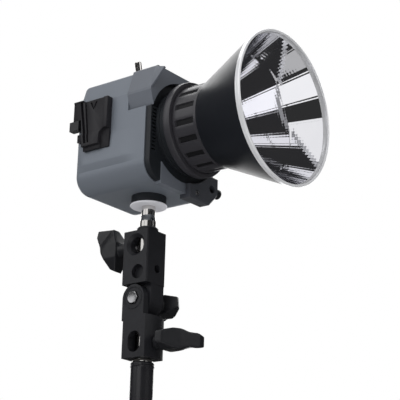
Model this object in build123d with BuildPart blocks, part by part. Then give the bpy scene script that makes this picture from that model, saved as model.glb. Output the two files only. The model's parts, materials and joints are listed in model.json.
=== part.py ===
from build123d import *
import os
from math import atan2, cos, degrees, radians, sin

# A compact follow spot: a boxy LED lamp head with a polished cone reflector, held by its spigot
# in a two-part swivel bracket on the top tube of a stand. Millimetres, +Z up, the beam goes to -Y.
# The origin is the centre of the lower end of the stand tube, where the rest of a stand takes over.

os.makedirs("parts", exist_ok=True)

# ---------------------------------------------------------------- clearances
RUN = 0.05  # radial clearance of shafts and screws that turn
GAP = 0.3  # between pieces that move past each other
SEAT = 0.1  # around pieces that drop into a pocket

# ---------------------------------------------------------------- stand top
TUBE_R = 11.0
TUBE_WALL = 1.5
TUBE_L = 45.0
PLUG_L = 12.0
STUD_R = 8.0
STUD_SHANK_L = 17.0
STUD_L = 38.5
STUD_FLANGE_R = 9.2
STUD_FLANGE_T = 1.2
WAIST_R = 5.8
COLLAR_R = 11.4
COLLAR_H = 6.5

# ---------------------------------------------------------------- swivel bracket
BLOCK_X = 13.8  # half width of both blocks
LOWER_Y = 14.3  # half depth of the lower block
LOWER_H = 40.0
BULGE = 1.4  # crown of the lower block's front face
HINGE_Y = 3.0
HINGE_UP = 17.0  # hinge above the lower block's top
EAR_T = 7.2
EAR_R = 13.0
DISC_T = 0.9
TONGUE_R = 15.0
TONGUE_TO_X = 12.5
HINGE_TO_BLOCK = 14.0
UPPER_FRONT = 12.5
UPPER_BACK = 18.5
UPPER_H = 52.0
SOCKET_DEPTH = 30.0
BOLT_R = 4.0
HEX_AF = 12.0
HEX_T = 5.0
HEX_SINK = 1.5
CROSS_DOWN = 14.0  # cross window below the upper block's top
CROSS_R = 8.05
CROSS_MOUTH_R = 11.0
UMBRELLA_HOLE_R = 4.1
UMBRELLA_UP = 15.0  # umbrella hole above the upper block's bottom
RECESS_R = 7.0
RECESS_D = 5.5
SLOT_W = 15.0
SLOT_H = 20.0
CLAMP_R = 4.0
PAD_T = 2.5
LOWER_CLAMP_UP = 15.0
UPPER_CLAMP_DOWN = 13.0
SOCKET_RING_R = 10.3
SOCKET_RING_H = 5.0

# ---------------------------------------------------------------- clamp handles
HANDLE_W = 19.0
HANDLE_TIP_W = 10.0
HANDLE_LONG = 23.5
HANDLE_SHORT = 21.0
HANDLE_RISE = 38.0
HUB_R = 7.5
HUB_H = 12.0
SCREW_IN_HANDLE = 9.0
HANDLE_CLEAR = 0.8
UPPER_HANDLE_OUT = 3.2
SWIVEL_LEAN = 6.0

# ---------------------------------------------------------------- spigot and base
SPIGOT_R = 8.0
SPIGOT_SHOW = 11.0  # full diameter above the upper block
NECK_R = 6.75
NECK_CONE = 6.0
NECK_L = 9.4
THREAD_R = 4.75
WASHER_R = 18.0
WASHER_T = 1.5
BOSS_R = 17.0
BOSS_H = 8.2
BASE_PLATE = 44.0
BASE_PLATE_T = 3.0
NUT_T = 6.0
NUT_R = 9.0

# ---------------------------------------------------------------- lamp body
BODY_X = 50.0
AXIS_UP = 57.3  # light axis above the body's underside
TOP_UP = 55.2
SHOULDER_UP = 31.7
RIDGE_X = 42.5
BOTTOM_R = 18.0
RIDGE_R = 3.0
REAR_Y = 55.0
FRONT_Y = -34.0
REAR_R = 8.0
WALL = 2.5
REAR_WALL = 3.0
SADDLE_PROUD = 1.8
SADDLE_BACK_Y = -12.0
SADDLE_FRONT_Y = -41.0
SADDLE_IN = 6.5
SADDLE_OPEN_R = 49.3
SCOOP_TOP_UP = 29.2
SCOOP_H = 15.0
SCOOP_D = 5.0
CHIN_UP = -38.0
BEZEL_Y = -40.0
BEZEL_IN = 1.2
BACKING_T = 3.0
VENT_W = 1.6
VENT_L = 6.4
VENT_X = 43.5
VENT_UP = -7.2
VENT_PITCH = 3.6
VENT_COUNT = 13

# ---------------------------------------------------------------- lens mount and reflector
PORT_R = 36.0
COLLAR_TUBE_R = 41.5
RING_R = 46.8
RING_BACK_Y = -52.0
RING_FRONT_Y = -60.0
NECK_SINK = 4.0
NECK_TUBE_R = 42.0
NECK_FRONT_Y = -87.5
NECK_WALL = 2.4
NECK_SLOTS = 16
NECK_SLOT_W = 4.4
CONE_BACK_R = 42.7
CONE_FRONT_R = 72.6
CONE_FRONT_Y = -154.4
CONE_T = 1.2
LINER_T = 0.8
RIM_FRONT_Y = -160.0
RIM_R = 73.8
GLASS_T = 2.0
GLASS_Y = -50.0

# ---------------------------------------------------------------- inside
COB_R = 12.0
COB_SIZE = 28.0
COB_T = 1.6
HOLDER_R = 24.0
HOLDER_T = 3.0
SEAT_Y = -24.0
SEAT_T = 6.0
SINK_X = 36.0
SINK_Z = 34.0
SINK_BACK_Y = 18.0
SINK_BASE = 5.0
FIN_T = 1.2
FIN_PITCH = 4.8
FIN_COUNT = 15
FAN_SIZE = 76.0
FAN_T = 15.0
FAN_Y = 20.0
FAN_BORE_R = 36.5
FAN_HUB_R = 15.0
FAN_BLADES = 9
FAN_PIN_R = 1.5
FAN_PIN_L = 9.0
FAN_SPIDER_T = 2.0
FAN_BLADE_W = 9.0
FAN_BLADE_T = 1.2
FAN_PITCH = 40.0
BOARD_X = 32.0
BOARD_T = 1.6
BOARD_BACK_Y = 42.0
BOARD_FRONT_Y = -8.0
STANDOFF_R = 2.5
STANDOFF_H = 8.0

# ---------------------------------------------------------------- rear panel and controls
PANEL_X = 37.0
PANEL_Z = 43.0
PANEL_R = 6.0
PANEL_LIP = 4.0
PANEL_LIP_T = 2.5
KNOB_R = 8.0
KNOB_H = 12.0
KNOB_X = 17.0
KNOB_UP = 4.0
SHAFT_R = 3.0
BUTTON_R = 3.6
BUTTON_OUT = 2.0
BUTTON_UP = -13.0
DISPLAY_W = 46.0
DISPLAY_H = 20.0
DISPLAY_UP = 26.0
ROCKER_W = 19.0
ROCKER_H = 13.0
ROCKER_WALL = 1.5
ROCKER_DEPTH = 8.0
ROCKER_BACK = 3.0
ROCKER_DIP = 5.6
ROCKER_FRONT = 7.0
ROCKER_HALF = 3.9
ROCKER_PIN_R = 1.0
INLET_R = 9.0
INLET_WALL = 1.5
INLET_D = 9.0
INLET_PINS = 4
INLET_PIN_R = 0.9
INLET_PIN_PCR = 4.0
LOW_ROW_UP = -30.0
POT_SIZE = 14.0
POT_T = 8.0
SHAFT_IN = 3.0
SCREW_X = 39.4
SCREW_UP = 30.0
SCREW_R = 1.0
SCREW_HEAD_R = 2.0
SCREW_HEAD_T = 1.2

# ---------------------------------------------------------------- battery wedge plate on the side
PLATE_FRONT_Y = 8.7
PLATE_BACK_Y = 45.0
PLATE_TOP_UP = 32.2
PLATE_H = 50.5
PLATE_T = 2.5
RAIL_T = 4.5
PLATE_TAPER = 5.0
LATCH_X = 4.0
LATCH_TAB_UP = 4.7
LATCH_BOX_UP = 14.7
LATCH_BOX_H = 20.0
LATCH_BOX_Y = 53.0
LATCH_LAP = 2.0
LATCH_STROKE = 4.0
LATCH_STEM_W = 2.8
LATCH_HEAD_W = 5.4
LATCH_HEAD_H = 3.0
LATCH_THROAT = 3.0
LATCH_POCKET_H = 18.0
LATCH_TAB_H = 9.5
GROOVE_SHIFT = 12.0
GROOVE_1_Y = 37.6
GROOVE_2_Y = 30.2
GROOVE_W = 1.4
NOTCH_W = 8.5
NOTCH_H = 19.0
CONTACT_UP = -8.7
CONTACT_H = 8.0
CONTACT_BACK_Y = 46.5
LATCH_OUT_Y = 57.0

# ---------------------------------------------------------------- umbrella holder and post
HOLDER_X0 = 5.5
HOLDER_X1 = 50.0
HOLDER_FRONT_Y = -46.0
HOLDER_LOW = 5.6  # below the body's underside
HOLDER_H = 30.0
HOLDER_CORNER = 13.0
HOLDER_SCREW_X = 16.5
HOLDER_SCREW_UP = -56.3
HOLDER_SCREW_R = 2.4
HOLDER_SCREW_D = 3.0
HOLDER_SCREW_PROUD = 0.8
UMBRELLA_X = 40.0
UMBRELLA_AXIS_UP = 11.5
UMBRELLA_R = 4.1
UMBRELLA_TUBE_R = 5.0
UMBRELLA_L = 82.0
THUMB_R = 2.0
UMBRELLA_SCREW_HEAD_R = 5.0
UMBRELLA_SCREW_HEAD_T = 7.0
POST_R = 3.5
POST_L = 15.5
POST_X = -30.0
POST_Y = -7.8
POST_LEAN = 15.0
POST_FLANGE_R = 4.1
POST_FLANGE_T = 1.2

# ---------------------------------------------------------------- derived heights
PLUG_R = TUBE_R - TUBE_WALL
COLLAR_TOP = TUBE_L + COLLAR_H
FLANGE_TOP = COLLAR_TOP + STUD_FLANGE_T
LOWER_Z0 = FLANGE_TOP + GAP
LOWER_Z1 = LOWER_Z0 + LOWER_H
HINGE_Z = LOWER_Z1 + HINGE_UP
UPPER_Z0 = HINGE_Z + HINGE_TO_BLOCK
UPPER_Z1 = UPPER_Z0 + UPPER_H
EAR_IN_X = -BLOCK_X + EAR_T
TONGUE_X = EAR_IN_X + DISC_T
LOWER_CLAMP_Z = LOWER_Z0 + LOWER_CLAMP_UP
UPPER_CLAMP_Z = UPPER_Z1 - UPPER_CLAMP_DOWN
CROSS_Z = UPPER_Z1 - CROSS_DOWN
SPIGOT_Z0 = UPPER_Z1 - SOCKET_DEPTH + GAP
SPIGOT_Z1 = UPPER_Z1 + SPIGOT_SHOW
NECK_Z1 = SPIGOT_Z1 + NECK_CONE + NECK_L
BOSS_Z = NECK_Z1 + WASHER_T
BODY_Z0 = BOSS_Z + BOSS_H
AXIS_Z = BODY_Z0 + AXIS_UP
FLOOR_Z = BODY_Z0 + WALL
THREAD_TOP = FLOOR_Z + BASE_PLATE_T + NUT_T - 1


def front_plane(y, up=0.0, x=0.0):
    """Plane square to the beam: local x is +X, local y is +Z, and it looks to -Y."""
    return Plane(origin=(x, y, AXIS_Z + up), x_dir=(1, 0, 0), z_dir=(0, -1, 0))


def save(builder, name):
    """Label a finished piece and write its STEP file."""
    builder.part.label = name
    export_step(builder.part, f"parts/{name}.step")


# ================================================================ stand top
with BuildPart() as column_tube:
    with BuildSketch():
        Circle(TUBE_R)
        Circle(PLUG_R, mode=Mode.SUBTRACT)
    extrude(amount=TUBE_L)
save(column_tube, "column_tube")

with BuildPart() as column_plug:
    with BuildSketch():
        Circle(PLUG_R)
    extrude(amount=PLUG_L)
    chamfer(column_plug.edges().group_by(Axis.Z)[-1], 1.0)
save(column_plug, "column_plug")

STUD_TOP = FLANGE_TOP + STUD_L
with BuildPart() as stand_stud:
    with BuildSketch(Plane.XZ):
        with BuildLine():
            Polyline(
                (0, TUBE_L - STUD_SHANK_L),
                (PLUG_R, TUBE_L - STUD_SHANK_L),
                (PLUG_R, TUBE_L),
                (STUD_R, TUBE_L),
                (STUD_R, COLLAR_TOP),
                (STUD_FLANGE_R, COLLAR_TOP),
                (STUD_FLANGE_R, FLANGE_TOP),
                (STUD_R, FLANGE_TOP),
                (STUD_R, FLANGE_TOP + 4.5),
                (WAIST_R, FLANGE_TOP + 7.5),
                (WAIST_R - 0.3, STUD_TOP - 12.5),
                (STUD_R, STUD_TOP - 8.5),
                (STUD_R, STUD_TOP - 1),
                (STUD_R - 1, STUD_TOP),
                (0, STUD_TOP),
                close=True,
            )
        make_face()
    revolve(axis=Axis.Z)
save(stand_stud, "stand_stud")

with BuildPart() as stand_collar:
    with BuildSketch(Plane.XY.offset(TUBE_L)):
        Circle(COLLAR_R)
        Circle(STUD_R, mode=Mode.SUBTRACT)
    extrude(amount=COLLAR_H)
    chamfer(stand_collar.edges().filter_by(GeomType.CIRCLE).sort_by(SortBy.RADIUS)[-2:], 0.8)
save(stand_collar, "stand_collar")

# ================================================================ lower block of the bracket
BORE_R = STUD_R + RUN
with BuildPart() as lower_socket:
    with BuildSketch(Plane.XY.offset(LOWER_Z0)):
        with BuildLine():
            Polyline(
                (BLOCK_X, -LOWER_Y + BULGE),
                (BLOCK_X, LOWER_Y),
                (-BLOCK_X, LOWER_Y),
                (-BLOCK_X, -LOWER_Y + BULGE),
            )
            ThreePointArc(
                (-BLOCK_X, -LOWER_Y + BULGE), (0, -LOWER_Y - BULGE), (BLOCK_X, -LOWER_Y + BULGE)
            )
        make_face()
    extrude(amount=LOWER_H)
    with BuildSketch(Plane.YZ.offset(-BLOCK_X)):
        with Locations((HINGE_Y, HINGE_Z)):
            Circle(EAR_R)
        with Locations((HINGE_Y, (HINGE_Z + LOWER_Z1) / 2 - 2)):
            Rectangle(2 * EAR_R, HINGE_UP + 4)
    extrude(amount=EAR_T)
    with Locations(Location((0, 0, LOWER_Z0))):
        Cylinder(BORE_R, STUD_L + GAP, align=(Align.CENTER, Align.CENTER, Align.MIN), mode=Mode.SUBTRACT)
    with BuildSketch(Plane.YZ.offset(-BLOCK_X)):
        with Locations((0, LOWER_CLAMP_Z)):
            SlotOverall(SLOT_H, SLOT_W, rotation=90)
    extrude(amount=BLOCK_X - 3, mode=Mode.SUBTRACT)
    with BuildSketch(Plane.XZ.offset(0)):
        with Locations((0, LOWER_CLAMP_Z)):
            Circle(CLAMP_R + RUN)
    extrude(amount=LOWER_Y + 4, mode=Mode.SUBTRACT)
    with BuildSketch(Plane.YZ.offset(-BLOCK_X)):
        with Locations((HINGE_Y, HINGE_Z)):
            Circle(BOLT_R)
    extrude(amount=EAR_T, mode=Mode.SUBTRACT)
    with BuildSketch(Plane.YZ.offset(-BLOCK_X)):
        with Locations((HINGE_Y, HINGE_Z)):
            RegularPolygon(HEX_AF / 2 + SEAT, 6, major_radius=False)
    extrude(amount=HEX_SINK, mode=Mode.SUBTRACT)
save(lower_socket, "lower_socket")

with BuildPart() as hinge_bolt:
    with BuildSketch(Plane.YZ.offset(-BLOCK_X + HEX_SINK)):
        with Locations((HINGE_Y, HINGE_Z)):
            RegularPolygon(HEX_AF / 2, 6, major_radius=False)
    extrude(amount=-HEX_T)
    with BuildSketch(Plane.YZ.offset(-BLOCK_X + HEX_SINK)):
        with Locations((HINGE_Y, HINGE_Z)):
            Circle(BOLT_R)
    extrude(amount=BLOCK_X - HEX_SINK + TONGUE_TO_X + HANDLE_CLEAR + SCREW_IN_HANDLE - GAP)
save(hinge_bolt, "hinge_bolt")

with BuildPart() as friction_disc:
    with BuildSketch(Plane.YZ.offset(EAR_IN_X)):
        with Locations((HINGE_Y, HINGE_Z)):
            Circle(EAR_R - 1.5)
            Circle(BOLT_R, mode=Mode.SUBTRACT)
    extrude(amount=DISC_T)
save(friction_disc, "friction_disc")

# ================================================================ upper block of the bracket
with BuildPart() as upper_socket:
    with BuildSketch(Plane.XY.offset(UPPER_Z0)):
        with Locations((0, (UPPER_BACK - UPPER_FRONT) / 2)):
            Rectangle(2 * BLOCK_X, UPPER_FRONT + UPPER_BACK)
    extrude(amount=UPPER_H)
    chamfer(upper_socket.edges().filter_by(Axis.Z), 1.2)
    with BuildSketch(Plane.YZ.offset(TONGUE_X)):
        with Locations((HINGE_Y, HINGE_Z)):
            Circle(TONGUE_R)
        with Locations((HINGE_Y, HINGE_Z + HINGE_TO_BLOCK / 2 + 1)):
            Rectangle(2 * TONGUE_R, HINGE_TO_BLOCK + 2)
    extrude(amount=TONGUE_TO_X - TONGUE_X)
    with BuildSketch(Plane.YZ.offset(TONGUE_X)):
        with Locations((HINGE_Y, HINGE_Z)):
            Circle(BOLT_R + RUN)
    extrude(amount=TONGUE_TO_X - TONGUE_X, mode=Mode.SUBTRACT)
    with Locations(Location((0, 0, UPPER_Z1))):
        Cylinder(
            SPIGOT_R + RUN, SOCKET_DEPTH, align=(Align.CENTER, Align.CENTER, Align.MAX), mode=Mode.SUBTRACT
        )
    with BuildSketch(Plane.YZ.offset(-BLOCK_X)):
        with Locations((HINGE_Y, CROSS_Z)):
            Circle(CROSS_R)
    extrude(amount=2 * BLOCK_X, mode=Mode.SUBTRACT)
    with BuildSketch(Plane.YZ.offset(-BLOCK_X)):
        with Locations((HINGE_Y, CROSS_Z)):
            Circle(CROSS_MOUTH_R)
    extrude(amount=CROSS_MOUTH_R - CROSS_R, taper=45, mode=Mode.SUBTRACT)
    with BuildSketch(Plane.YZ.offset(-BLOCK_X)):
        with Locations((-1.0, UPPER_Z0 + UMBRELLA_UP - 4)):
            Circle(RECESS_R)
    extrude(amount=RECESS_D, mode=Mode.SUBTRACT)
    with BuildSketch(Plane.XZ.offset(-UPPER_BACK)):
        with Locations((1.5, UPPER_Z0 + UMBRELLA_UP)):
            Circle(UMBRELLA_HOLE_R)
        with Locations((0, UPPER_CLAMP_Z)):
            Circle(CLAMP_R + RUN)
    extrude(amount=UPPER_BACK, mode=Mode.SUBTRACT)
    with BuildSketch(Plane.XZ):
        with Locations((1.5, UPPER_Z0 + UMBRELLA_UP)):
            Circle(UMBRELLA_HOLE_R)
    extrude(amount=UPPER_FRONT, mode=Mode.SUBTRACT)
save(upper_socket, "upper_socket")

with BuildPart() as socket_ring:
    with BuildSketch(Plane.XY.offset(UPPER_Z1)):
        Circle(SOCKET_RING_R)
        Circle(SPIGOT_R + GAP, mode=Mode.SUBTRACT)
    extrude(amount=SOCKET_RING_H)
    chamfer(socket_ring.edges().group_by(Axis.Z)[-1].sort_by(SortBy.RADIUS)[-1], 1.2)
save(socket_ring, "socket_ring")


# ================================================================ clamp handles and their screws
def clamp_handle(name, base, hole_r):
    """A swept-back wing handle on a hub; base sits where the hub starts and looks outwards."""
    side = Plane(origin=base.origin, x_dir=base.x_dir, z_dir=base.y_dir * -1)
    with BuildPart() as handle:
        with BuildSketch(side):
            with BuildLine():
                Polyline(
                    (-HUB_R, HUB_H - 2),
                    (-HANDLE_SHORT, HUB_H + 2),
                    (-HANDLE_SHORT + 3, HUB_H + 8),
                    (-2, HUB_H + 18),
                    (HANDLE_LONG - 7, HANDLE_RISE),
                    (HANDLE_LONG, HANDLE_RISE),
                    (HANDLE_LONG - 1, HUB_H + 6),
                    (HUB_R, HUB_H - 2),
                    close=True,
                )
            make_face()
        extrude(amount=HANDLE_W / 2, both=True)
        with BuildSketch(base):
            with BuildLine():
                Polyline(
                    (-HANDLE_SHORT, -HANDLE_TIP_W / 2),
                    (-HUB_R, -HANDLE_W / 2),
                    (HUB_R, -HANDLE_W / 2),
                    (HANDLE_LONG, -HANDLE_TIP_W / 2),
                    (HANDLE_LONG, HANDLE_TIP_W / 2),
                    (HUB_R, HANDLE_W / 2),
                    (-HUB_R, HANDLE_W / 2),
                    (-HANDLE_SHORT, HANDLE_TIP_W / 2),
                    close=True,
                )
            make_face()
        extrude(amount=HANDLE_RISE, mode=Mode.INTERSECT)
        with BuildSketch(base):
            Circle(HUB_R)
        extrude(amount=HUB_H)
        with BuildSketch(base):
            Circle(hole_r)
        extrude(amount=SCREW_IN_HANDLE, mode=Mode.SUBTRACT)
    save(handle, name)


def clamp_screw(name, base, reach):
    """A screw from inside the handle to its pad, reach below the handle's base plane."""
    with BuildPart() as screw:
        with BuildSketch(base.offset(-reach)):
            Circle(CLAMP_R - 1)
        extrude(amount=PAD_T)
        with BuildSketch(base.offset(-reach + PAD_T)):
            Circle(CLAMP_R)
        extrude(amount=reach - PAD_T + SCREW_IN_HANDLE)
    save(screw, name)


LOWER_FACE = LOWER_Y + BULGE
lower_base = Plane(origin=(0, -LOWER_FACE - HANDLE_CLEAR, LOWER_CLAMP_Z), x_dir=(1, 0, 0), z_dir=(0, -1, 0))
clamp_handle("lower_handle", lower_base, CLAMP_R)
clamp_screw("lower_clamp_screw", lower_base, LOWER_FACE + HANDLE_CLEAR - WAIST_R - GAP)

upper_base = Plane(origin=(0, UPPER_BACK + UPPER_HANDLE_OUT, UPPER_CLAMP_Z), x_dir=(0, 0, 1), z_dir=(0, 1, 0))
clamp_handle("upper_handle", upper_base, CLAMP_R)
clamp_screw("upper_clamp_screw", upper_base, UPPER_BACK + UPPER_HANDLE_OUT - SPIGOT_R - GAP)

lean = radians(SWIVEL_LEAN)
swivel_base = Plane(
    origin=(TONGUE_TO_X + HANDLE_CLEAR, HINGE_Y, HINGE_Z), x_dir=(0, cos(lean), -sin(lean)), z_dir=(1, 0, 0)
)
clamp_handle("swivel_handle", swivel_base, BOLT_R + RUN)

# ================================================================ spigot and lamp base
with BuildPart() as spigot:
    with BuildSketch(Plane.XZ):
        with BuildLine():
            Polyline(
                (0, SPIGOT_Z0),
                (SPIGOT_R - 1, SPIGOT_Z0),
                (SPIGOT_R, SPIGOT_Z0 + 1),
                (SPIGOT_R, SPIGOT_Z1),
                (NECK_R, SPIGOT_Z1 + NECK_CONE),
                (NECK_R, NECK_Z1),
                (THREAD_R, NECK_Z1),
                (THREAD_R, THREAD_TOP),
                (0, THREAD_TOP),
                close=True,
            )
        make_face()
    revolve(axis=Axis.Z)
save(spigot, "spigot")

with BuildPart() as base_washer:
    with BuildSketch(Plane.XY.offset(NECK_Z1)):
        Circle(WASHER_R)
        Circle(THREAD_R, mode=Mode.SUBTRACT)
    extrude(amount=WASHER_T)
    chamfer(base_washer.edges().filter_by(GeomType.CIRCLE).sort_by(SortBy.RADIUS)[-2:], 0.4)
save(base_washer, "base_washer")

with BuildPart() as base_boss:
    with BuildSketch(Plane.XY.offset(BOSS_Z)):
        Circle(BOSS_R)
        Circle(THREAD_R, mode=Mode.SUBTRACT)
    extrude(amount=BOSS_H)
    fillet(base_boss.edges().filter_by(GeomType.CIRCLE).group_by(Axis.Z)[0].sort_by(SortBy.RADIUS)[-1], 2.0)
save(base_boss, "base_boss")

with BuildPart() as base_plate:
    with BuildSketch(Plane.XY.offset(FLOOR_Z)):
        Rectangle(BASE_PLATE, BASE_PLATE)
        Circle(THREAD_R, mode=Mode.SUBTRACT)
    extrude(amount=BASE_PLATE_T)
save(base_plate, "base_plate")

with BuildPart() as base_nut:
    with BuildSketch(Plane.XY.offset(FLOOR_Z + BASE_PLATE_T)):
        RegularPolygon(NUT_R, 6)
        Circle(THREAD_R, mode=Mode.SUBTRACT)
    extrude(amount=NUT_T)
save(base_nut, "base_nut")


# ================================================================ lamp body
def body_outline(inset):
    """The body's front outline, centred on the light axis and moved in by inset all round."""
    half, low, high = BODY_X - inset, -AXIS_UP + inset, TOP_UP - inset
    ridge = RIDGE_X - 0.8 * inset
    with BuildSketch() as outline:
        with BuildLine():
            Polyline(
                (-half, low),
                (half, low),
                (half, SHOULDER_UP),
                (ridge, high),
                (-ridge, high),
                (-half, SHOULDER_UP),
                close=True,
            )
        make_face()
        fillet(outline.vertices().group_by(Axis.Y)[0], BOTTOM_R - inset)
        fillet(outline.vertices().group_by(Axis.Y)[-1], RIDGE_R)
    return outline.sketch


with BuildPart() as body_shell:
    with BuildSketch(front_plane(REAR_Y)):
        add(body_outline(0))
    extrude(amount=REAR_Y - FRONT_Y)
    fillet(body_shell.faces().sort_by(Axis.Y)[-1].edges(), REAR_R)
    with BuildSketch(front_plane(REAR_Y - REAR_WALL)):
        add(body_outline(WALL))
    extrude(amount=REAR_Y - REAR_WALL - FRONT_Y, mode=Mode.SUBTRACT)
    with BuildSketch(front_plane(REAR_Y)):
        RectangleRounded(2 * PANEL_X, 2 * PANEL_Z, PANEL_R)
    extrude(amount=REAR_WALL, mode=Mode.SUBTRACT)
    with BuildSketch(front_plane(SADDLE_BACK_Y, SCOOP_TOP_UP - SCOOP_H)):
        Rectangle(2 * BODY_X + 2, 2 * TOP_UP, align=(Align.CENTER, Align.MIN))
    extrude(amount=SADDLE_BACK_Y - FRONT_Y, mode=Mode.SUBTRACT)
    with BuildSketch(Plane.XY.offset(BODY_Z0)):
        Circle(THREAD_R)
    extrude(amount=WALL, mode=Mode.SUBTRACT)
    with BuildSketch(front_plane(REAR_Y)):
        with GridLocations(2 * SCREW_X, 2 * SCREW_UP, 2, 2):
            Circle(SCREW_R)
    extrude(amount=REAR_WALL, mode=Mode.SUBTRACT)
save(body_shell, "body_shell")

SCOOP_Z = SCOOP_TOP_UP - SCOOP_H
with BuildPart() as top_saddle:
    with BuildSketch(front_plane(SADDLE_BACK_Y)):
        add(body_outline(-SADDLE_PROUD))
    extrude(amount=SADDLE_BACK_Y - SADDLE_FRONT_Y)
    with BuildSketch(front_plane(SADDLE_BACK_Y)):
        with Locations((0, SCOOP_Z)):
            Rectangle(3 * BODY_X, 4 * BODY_X, align=(Align.CENTER, Align.MAX))
    extrude(amount=SADDLE_BACK_Y - SADDLE_FRONT_Y, mode=Mode.SUBTRACT)
    with BuildSketch(front_plane(SADDLE_BACK_Y)):
        add(body_outline(SADDLE_IN))
    extrude(amount=SADDLE_BACK_Y - FRONT_Y, mode=Mode.SUBTRACT)
    with BuildSketch(front_plane(FRONT_Y)):
        Circle(SADDLE_OPEN_R)
    extrude(amount=FRONT_Y - SADDLE_FRONT_Y, mode=Mode.SUBTRACT)
    for side in (-1, 1):
        with BuildSketch(front_plane(SADDLE_BACK_Y)):
            with BuildLine():
                Polyline(
                    (side * (BODY_X + SADDLE_PROUD), SCOOP_TOP_UP),
                    (side * (BODY_X + SADDLE_PROUD + 1), SCOOP_TOP_UP),
                    (side * (BODY_X + SADDLE_PROUD + 1), SCOOP_Z),
                    (side * (BODY_X + SADDLE_PROUD - SCOOP_D), SCOOP_Z),
                    close=True,
                )
            make_face()
        extrude(amount=SADDLE_BACK_Y - SADDLE_FRONT_Y, mode=Mode.SUBTRACT)
save(top_saddle, "top_saddle")

with BuildPart() as bottom_saddle:
    with BuildSketch(front_plane(FRONT_Y)):
        add(body_outline(-SADDLE_PROUD))
    extrude(amount=FRONT_Y - SADDLE_FRONT_Y)
    with BuildSketch(front_plane(FRONT_Y)):
        Circle(SADDLE_OPEN_R)
        with Locations((0, CHIN_UP)):
            Rectangle(3 * BODY_X, 4 * BODY_X, align=(Align.CENTER, Align.MIN))
        with Locations((HOLDER_X0 - SEAT, -2 * BODY_X)):
            Rectangle(2 * BODY_X, 4 * BODY_X, align=(Align.MIN, Align.CENTER))
        with Locations((-BODY_X + BOTTOM_R, -2 * BODY_X)):
            Rectangle(2 * BODY_X, 4 * BODY_X, align=(Align.MAX, Align.CENTER))
    extrude(amount=FRONT_Y - SADDLE_FRONT_Y, mode=Mode.SUBTRACT)
save(bottom_saddle, "bottom_saddle")

# ================================================================ front bezel and lens mount
HOLDER_LOW_UP = -AXIS_UP - HOLDER_LOW
HOLDER_TOP_UP = HOLDER_LOW_UP + HOLDER_H
UMBRELLA_AXIS = -AXIS_UP + UMBRELLA_AXIS_UP
with BuildPart() as front_bezel:
    with BuildSketch(front_plane(FRONT_Y)):
        add(body_outline(BEZEL_IN))
        with Locations((0, SCOOP_Z - SEAT)):
            Rectangle(3 * BODY_X, 2 * BODY_X, align=(Align.CENTER, Align.MIN), mode=Mode.SUBTRACT)
    extrude(amount=FRONT_Y - BEZEL_Y)
    with BuildSketch(front_plane(FRONT_Y)):
        with Locations((-BODY_X + BOTTOM_R - SEAT, CHIN_UP + SEAT)):
            Rectangle(2 * BODY_X, BODY_X, align=(Align.MIN, Align.MAX))
        with Locations((HOLDER_X0 - SEAT, HOLDER_TOP_UP + SEAT)):
            Rectangle(2 * BODY_X, BODY_X, align=(Align.MIN, Align.MAX))
        Circle(SADDLE_OPEN_R - SEAT, mode=Mode.SUBTRACT)
    extrude(amount=FRONT_Y - BEZEL_Y, mode=Mode.SUBTRACT)
    for side in (-1, 1):
        with BuildSketch(front_plane(FRONT_Y)):
            with Locations((side * VENT_X, VENT_UP)):
                with GridLocations(0, VENT_PITCH, 1, VENT_COUNT):
                    Rectangle(VENT_L, VENT_W)
        extrude(amount=FRONT_Y - BEZEL_Y, mode=Mode.SUBTRACT)
    with BuildSketch(front_plane(FRONT_Y + BACKING_T)):
        add(body_outline(SADDLE_IN + SEAT))
        with Locations((UMBRELLA_X, UMBRELLA_AXIS)):
            Circle(UMBRELLA_TUBE_R + SEAT, mode=Mode.SUBTRACT)
    extrude(amount=BACKING_T)
    with BuildSketch(front_plane(FRONT_Y + BACKING_T)):
        Circle(PORT_R)
    extrude(amount=BACKING_T + FRONT_Y - BEZEL_Y, mode=Mode.SUBTRACT)
save(front_bezel, "front_bezel")

with BuildPart() as mount_collar:
    with BuildSketch(front_plane(BEZEL_Y)):
        Circle(COLLAR_TUBE_R)
        Circle(PORT_R, mode=Mode.SUBTRACT)
    extrude(amount=BEZEL_Y - RING_BACK_Y)
save(mount_collar, "mount_collar")

with BuildPart() as bayonet_ring:
    with BuildSketch(front_plane(RING_BACK_Y)):
        Circle(RING_R)
        Circle(PORT_R, mode=Mode.SUBTRACT)
    extrude(amount=RING_BACK_Y - RING_FRONT_Y)
    with BuildSketch(front_plane(RING_FRONT_Y + NECK_SINK + GAP)):
        Circle(NECK_TUBE_R + GAP)
        Circle(PORT_R + 1.0, mode=Mode.SUBTRACT)
    extrude(amount=NECK_SINK + GAP, mode=Mode.SUBTRACT)
    chamfer(bayonet_ring.edges().filter_by(GeomType.CIRCLE).sort_by(SortBy.RADIUS)[-2:], 0.8)
save(bayonet_ring, "bayonet_ring")

with BuildPart() as cover_glass:
    with BuildSketch(front_plane(GLASS_Y + GLASS_T)):
        Circle(PORT_R)
    extrude(amount=GLASS_T)
save(cover_glass, "cover_glass")

# ================================================================ reflector
with BuildPart() as neck_tube:
    with BuildSketch(front_plane(RING_FRONT_Y + NECK_SINK)):
        Circle(NECK_TUBE_R)
        Circle(NECK_TUBE_R - NECK_WALL, mode=Mode.SUBTRACT)
    extrude(amount=RING_FRONT_Y + NECK_SINK - NECK_FRONT_Y)
    with BuildSketch(front_plane(RING_FRONT_Y - 3)):
        with PolarLocations(NECK_TUBE_R, NECK_SLOTS):
            Rectangle(4 * NECK_WALL, NECK_SLOT_W)
    extrude(amount=RING_FRONT_Y - 3 - NECK_FRONT_Y - 4, mode=Mode.SUBTRACT)
save(neck_tube, "neck_tube")


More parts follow.
